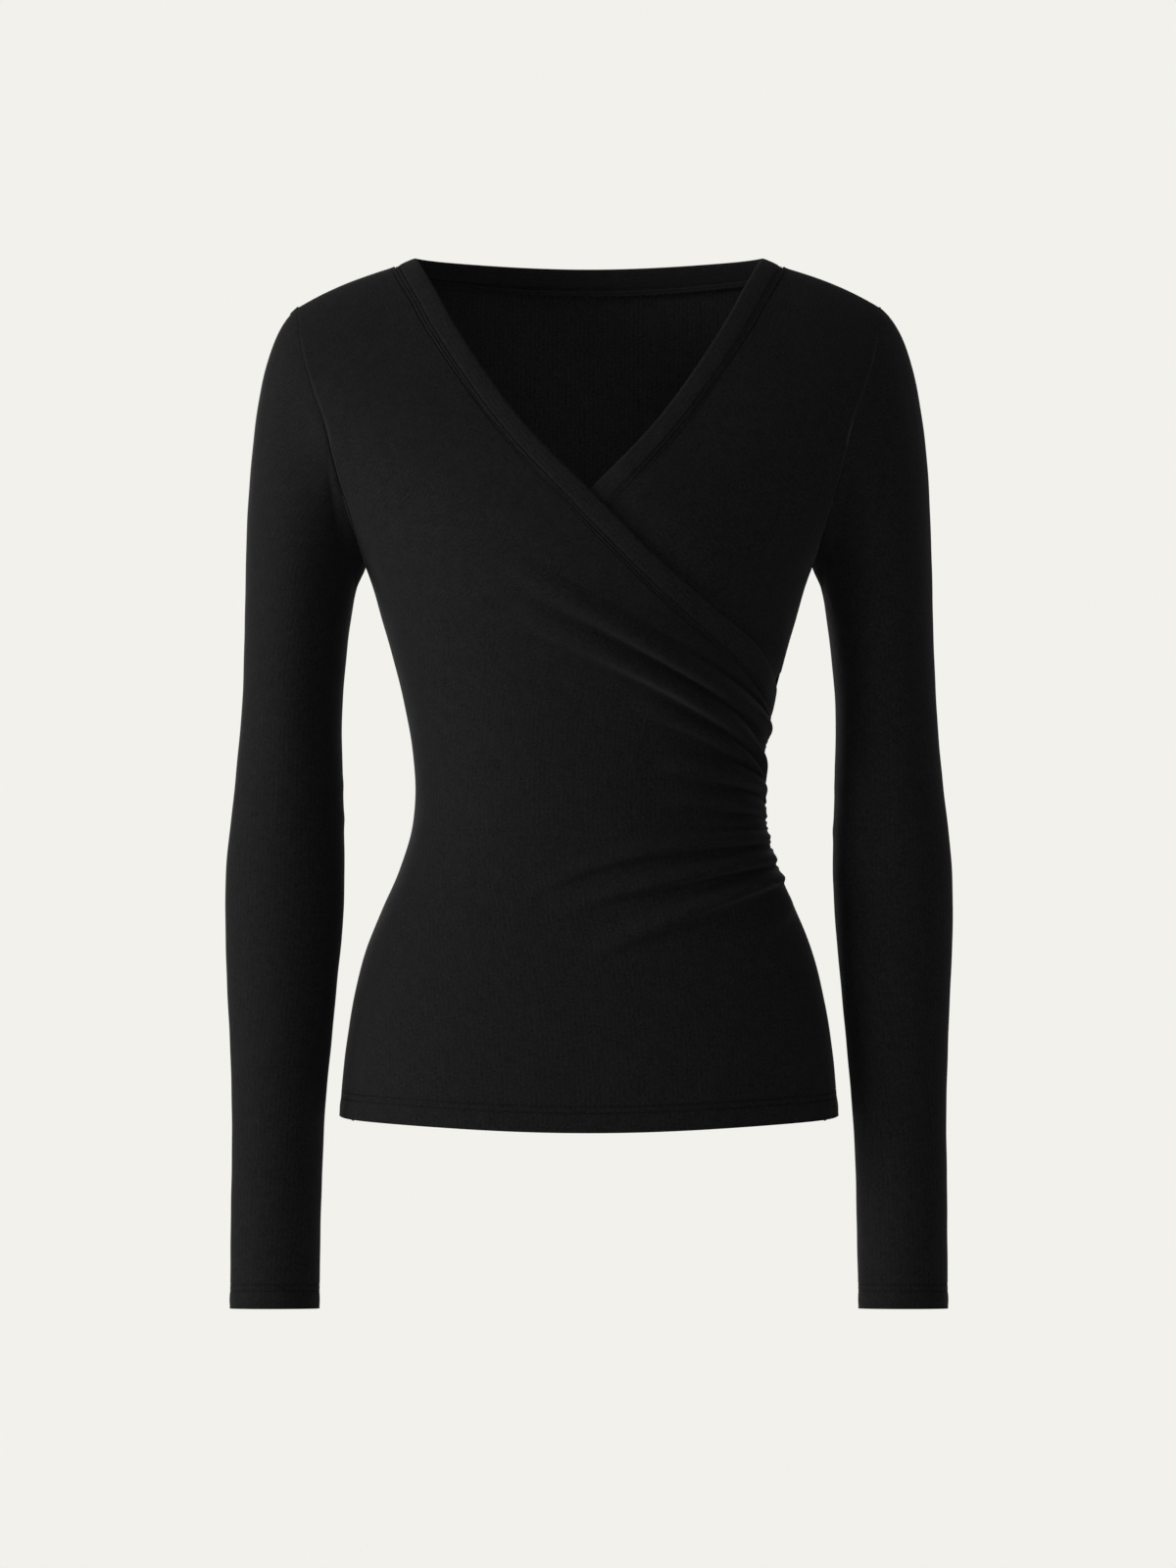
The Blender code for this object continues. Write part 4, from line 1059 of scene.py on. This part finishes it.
def band_half(hand):
    """One half of the band from the wrap's end to the back's middle: edge, seam and ways out."""
    place = np.linspace(NECK_END, 0, 1600)
    edge_angle, edge_z = through(WRAP, 0, place), through(WRAP, 1, place)
    edge, edge_out = body_surface(half_width(edge_z) * sine(edge_angle), edge_z, -1)
    seam, seam_out = body_surface(*neck_seam(place), -1)
    if hand > 0:
        edge -= edge_out * underlap_drop(-edge_angle, edge[:, 2])[:, None]
        seam -= seam_out * underlap_drop(-neck_angle(place), seam[:, 2])[:, None]
    place = np.linspace(0, len(BACK_NECK) - 1, 700)[1:]
    seam_x, seam_z = back_seam(place)
    behind = (*body_surface(-through(BACK_NECK, 0, place), through(BACK_NECK, 1, place), 1),
              *body_surface(-seam_x, seam_z, 1))
    joined = [np.concatenate(pair) for pair in zip((edge, edge_out, seam, seam_out), behind)]
    return [lines * MIRROR for lines in joined] if hand > 0 else joined


def softened(lines):
    for _ in range(BAND_SOFTENING):
        lines[1:-1] = (lines[:-2] + 2 * lines[1:-1] + lines[2:]) / 4
    return lines


def at(places, marks, lines):
    """Points of a line at places between its marks."""
    return np.stack([np.interp(places, marks, lines[:, k]) for k in range(3)], axis=-1)


def band_run():
    """The whole band at even distances: free edge, seam line and the ways out at both."""
    right, left = band_half(-1), band_half(1)
    whole = [np.concatenate([one, other[::-1][1:]]) for one, other in zip(right, left)]
    middle = (whole[0] + whole[2]) / 2
    even = [softened(at(spaced(middle, BAND_STATIONS), np.arange(len(middle)), lines))
            for lines in whole]
    return even[0], unit(even[1]), even[2], unit(even[3])


BAND_EDGE, BAND_EDGE_OUT, BAND_SEAM, BAND_SEAM_OUT = band_run()


def neckband():
    columns = []
    wave = BAND_RIPPLE * uneven_wave(np.arange(BAND_STATIONS) * BAND_STEP, 3.1, 1.5, 17.0)
    for share, height in BAND_SECTION:
        out = unit(blend(BAND_SEAM_OUT, BAND_EDGE_OUT, share))
        lift = BAND_LIFT + BAND_THICK * (height - 1) + wave * math.sin(math.pi * share)
        columns.append(blend(BAND_SEAM, BAND_EDGE, share) + out * lift[:, None])
    grid = np.stack(columns, axis=1)
    first = allowance(grid[:1], seam_turn(BAND_SEAM_OUT[:1])[:, None])
    last = allowance(grid[-1:], seam_turn(BAND_SEAM_OUT[-1:])[:, None])
    grid = np.concatenate(first + [grid] + last[::-1], axis=0)
    return cloth("neckband_strip", grid, band_jersey, wall=BAND_LAYER)


band_jersey = jersey("black_jersey_band", BAND)
band = neckband()
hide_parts("neckband")

# ------------------------------------------------------------------ stitching
# Black thread: twin rows along the hem, the cuffs and the neck seam, each stitch about 3 mm,
# with the looper thread that crosses between the two rows on the inside.
STITCH = 3.0              # from one needle hole to the next
STITCH_LENGTH = 2.55      # what shows of a stitch
STITCH_START = 0.3
THREAD = 0.50
LOOPER_THREAD = 0.60
THREAD_FLATNESS = 0.8
LOOP = 2.5                # distance between two crossings of the looper thread
SUNK = -0.02              # lift of the rows on the hem and the cuffs
INSIDE = -1.75            # and of the looper thread inside them
NEAR_LIFT = 0.30          # lift of the row on the band
NECK_INSIDE = -1.95       # lift of the looper thread inside the neck
NECK_LOOPS = (-0.3, -4.3)   # and how far from the sewn line it turns back

Thread = namedtuple("Thread", "tint roughness shine")
# Black needle thread, its tint darkened below the cloth's so that the stitch rows also carry
# painted shade for their grooves.
NEEDLE_PAINTED_DARKER = Thread(tint=(0.004, 0.004, 0.0045), roughness=0.7, shine=0.2)
# The looper thread is a bulkier textured thread, and its paler tint also paints a sheen on its
# crossings.
LOOPER_PAINTED_PALER = Thread(tint=(0.040, 0.040, 0.043), roughness=0.55, shine=0.4)


def thread(name, finish):
    """Spun black thread. The needle thread is tinted darker than the cloth, partly painted shade of
    the stitch grooves; the looper's is fuller and paler, partly painted sheen.
    """
    material, shader, place, _ = new_material(name)
    ply = place.node("ShaderNodeTexNoise", Vector=place, Scale=2600.0, Detail=2.0)
    shaded(finish.tint, 0.7 + 0.6 * ply).into(shader, "Base Color")
    bump = place.node("ShaderNodeBump", Height=ply, Strength=0.4, Distance=0.0001)
    bump.into(shader, "Normal")
    shader.inputs["Roughness"].default_value = finish.roughness
    shader.inputs["Specular IOR Level"].default_value = finish.shine
    return material


needle_thread_painted_darker = thread("black_thread_painted_shade", NEEDLE_PAINTED_DARKER)
paler_painted_looper = thread("black_looper_thread_painted_sheen", LOOPER_PAINTED_PALER)


def beads(count):
    """A mesh of many beads, all still at the origin and one unit wide, and one bead's points."""
    first = bmesh.new()
    bmesh.ops.create_uvsphere(first, u_segments=5, v_segments=4, radius=0.5)
    bm = first.copy()     # the copy has no gaps, so that new beads are added in order
    first.free()
    one = len(bm.verts)
    made = 1
    while made < count:
        for parts in (bm.verts, bm.edges, bm.faces):
            parts.index_update()
        bm.verts.ensure_lookup_table()
        more = min(made, count - made)
        copied = bm.verts[:more * one]
        edges = {edge for vertex in copied for edge in vertex.link_edges}
        faces = {face for vertex in copied for face in vertex.link_faces}
        geometry = copied + [part for parts in (edges, faces)
                             for part in sorted(parts, key=lambda part: part.index)]
        bmesh.ops.duplicate(bm, geom=geometry)
        made += more
    return bm, one


def row_stitches(points, out):
    """Where the stitches of a row start and end, and the way out at each."""
    run = lengths(points[None], 1)[0]
    begin = np.arange(STITCH_START, run[-1] - STITCH, STITCH)
    return at(begin, run, points), at(begin + STITCH_LENGTH, run, points), at(begin, run, out)


def crossings(one, other, out):
    """Where a looper thread's crossings between two rows start and end, and the way out."""
    run = lengths(one[None], 1)[0]
    marks = np.arange(STITCH_START, run[-1], LOOP)
    near, far = at(marks, run, one), at(marks, run, other)
    odd = (np.arange(len(marks) - 1) % 2 == 1)[:, None]
    return (np.where(odd, near[:-1], far[:-1]), np.where(odd, far[1:], near[1:]),
            at(marks[:-1], run, out))


def sewn(name, rows, loops):
    """Stitch rows and looper threads as one piece. A row is (points, ways out)."""
    stitches = [row_stitches(*row) for row in rows]
    straight = sum(len(starts) for starts, _, _ in stitches)
    stitches += [crossings(*loop) for loop in loops]
    starts, ends, outs = (np.concatenate(part) for part in zip(*stitches))
    widths = np.full((len(starts), 1), LOOPER_THREAD)
    widths[:straight] = THREAD
    bm, one = beads(len(starts))
    mesh = bpy.data.meshes.new(name)
    bm.to_mesh(mesh)
    bm.free()

    shape = np.empty(len(mesh.vertices) * 3)
    mesh.vertices.foreach_get("co", shape)
    run = ends - starts
    side = unit(np.cross(outs, run)) * widths
    up = unit(np.cross(run, side)) * widths * THREAD_FLATNESS
    frames = np.stack([side, up, run], axis=1)
    laid = np.einsum("nvk,nkx->nvx", shape.reshape(len(starts), one, 3), frames)
    laid += ((starts + ends) / 2)[:, None]
    mesh.vertices.foreach_set("co", (laid * MM).ravel())
    corners, first_corner = np.empty(len(mesh.loops), int), np.empty(len(mesh.polygons), int)
    mesh.loops.foreach_get("vertex_index", corners)
    mesh.polygons.foreach_get("loop_start", first_corner)
    looped = corners[first_corner] // one >= straight
    mesh.polygons.foreach_set("material_index", looped.astype(int))
    mesh.shade_smooth()
    mesh.materials.append(needle_thread_painted_darker)
    mesh.materials.append(paler_painted_looper)
    piece = add(name, mesh)
    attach(piece, "root")
    return piece


def hem_rows(side, lift):
    angle = np.linspace(-89.3, 89.3, 500)
    made = []
    for height in HEM_ROWS:
        z = np.full_like(angle, HEM_Z + height)
        points, out = body_surface(half_width(z) * sine(angle), z, side)
        if side < 0:
            points[:, 2] += hem_sway(angle, height)
        made.append((points + out * lift, out))
    return made


def cuff_rows(hand, lift):
    turn = np.linspace(0.0, 2 * math.pi, 240)
    flip = np.array([hand, 1, 1])
    made = []
    for height in CUFF_ROWS:
        ring = sleeve_ring(np.full_like(turn, CUFF_Z + height), turn)
        out = unit((ring - ring.mean(axis=0)) * np.array([1, 1, 0]))
        made.append(((ring + out * lift) * flip, out * flip))
    return made


def neck_row(shift, lift):
    out = unit(BAND_SEAM_OUT)
    return BAND_SEAM + unit(BAND_EDGE - BAND_SEAM) * shift + out * lift, out


def looper(rows):
    (one, outs), (other, _) = rows
    return one, other, -outs


hem_thread = sewn("hem_stitching", hem_rows(-1, SUNK) + hem_rows(1, SUNK),
                  [looper(hem_rows(side, INSIDE)) for side in (-1, 1)])
cuff_thread = sewn("cuff_stitching", cuff_rows(1, SUNK) + cuff_rows(-1, SUNK),
                   [looper(cuff_rows(hand, INSIDE)) for hand in (1, -1)])
neck_thread = sewn("neck_stitching",
                   [neck_row(NEAR_ROW, NEAR_LIFT), neck_row(-NECK_ROW.place, 0.0)],
                   [looper([neck_row(shift, NECK_INSIDE) for shift in NECK_LOOPS])])

# ------------------------------------------------------------------ studio
# A pale floor under the top and a pale surround. Soft light comes mostly from the wearer's
# right, with a little from above and behind, and a small lamp lights the inside of the back.
PALE = (0.888, 0.880, 0.842, 1)
PAINT = (0.80, 0.79, 0.76, 1)
FLOOR_Z = -0.86
FLOOR_RADIUS = 4.5
SURROUND = 0.135          # how strongly the surround lights the top
bpy.context.scene.view_settings.view_transform = "Standard"


def shown_as(tree, lit, shown, surface):
    """Gives a surface one shader for the light that it throws and another for how it looks."""
    path = tree.nodes.new("ShaderNodeLightPath")
    either = tree.nodes.new("ShaderNodeMixShader")
    tree.links.new(path.outputs["Is Camera Ray"], either.inputs[0])
    tree.links.new(lit.outputs[0], either.inputs[1])
    tree.links.new(shown.outputs[0], either.inputs[2])
    tree.links.new(either.outputs[0], surface.inputs["Surface"])


floor_bm = bmesh.new()
bmesh.ops.create_circle(floor_bm, cap_ends=True, segments=96, radius=FLOOR_RADIUS)
bmesh.ops.translate(floor_bm, vec=(0, 0, FLOOR_Z), verts=floor_bm.verts)
floor_mesh = bpy.data.meshes.new("studio_floor")
floor_bm.to_mesh(floor_mesh)
floor_bm.free()
floor = add("studio_floor", floor_mesh)
pale, paint, _, _ = new_material("pale_floor")
paint.inputs["Base Color"].default_value = PAINT
paint.inputs["Roughness"].default_value = 0.9
nodes = pale.node_tree.nodes
glow = nodes.new("ShaderNodeEmission")
glow.inputs["Color"].default_value = PALE
shown_as(pale.node_tree, paint, glow, nodes["Material Output"])
floor_mesh.materials.append(pale)

world = bpy.data.worlds.new("surround")
bpy.context.scene.world = world
world.use_nodes = True
nodes = world.node_tree.nodes
dim, bright = nodes["Background"], nodes.new("ShaderNodeBackground")
dim.inputs["Color"].default_value = PALE
dim.inputs["Strength"].default_value = SURROUND
bright.inputs["Color"].default_value = PALE
shown_as(world.node_tree, dim, bright, nodes["World Output"])

Lamp = namedtuple("Lamp", "name place target size power")
LAMPS = [
    Lamp("side", (-2.90, -0.60, -0.20), (0, 0, -0.32), 0.9, 16.5),
    Lamp("key", (-2.60, -1.38, 0.30), (0, 0, -0.32), 0.9, 16.5),
    Lamp("front", (0, -3.0, -0.20), (0, 0, -0.32), 1.2, 4.6),
    Lamp("above", (0.3, -2.6, 1.6), (0, 0, -0.35), 2.0, 2.5),
    Lamp("back_left", (-1.1, 2.75, 0.2), (0, 0, -0.32), 0.9, 11),
    Lamp("back_right", (0.35, 2.95, 0.2), (0, 0, -0.32), 0.9, 7),
    Lamp("inside", (-0.045, 0.0, -0.30), (-0.045, 0.10, 0.0), 0.07, 0.034),
]
for lamp in LAMPS:
    light = bpy.data.lights.new(lamp.name, "AREA")
    light.size = lamp.size
    light.energy = lamp.power
    source = add(lamp.name, light)
    source.visible_camera = False
    source.location = lamp.place
    aim = Vector(lamp.target) - Vector(lamp.place)
    source.rotation_euler = aim.to_track_quat("-Z", "Y").to_euler()

# The camera stands level with the middle of the top, 2.1 m in front of it.
lens = bpy.data.cameras.new("camera")
lens.lens = 75.6
lens.sensor_width = 36.0
camera = add("camera", lens)
camera.location = (-0.0006, -2.1, -0.3356)
camera.rotation_euler = (math.radians(90), 0, 0)
bpy.context.scene.camera = camera
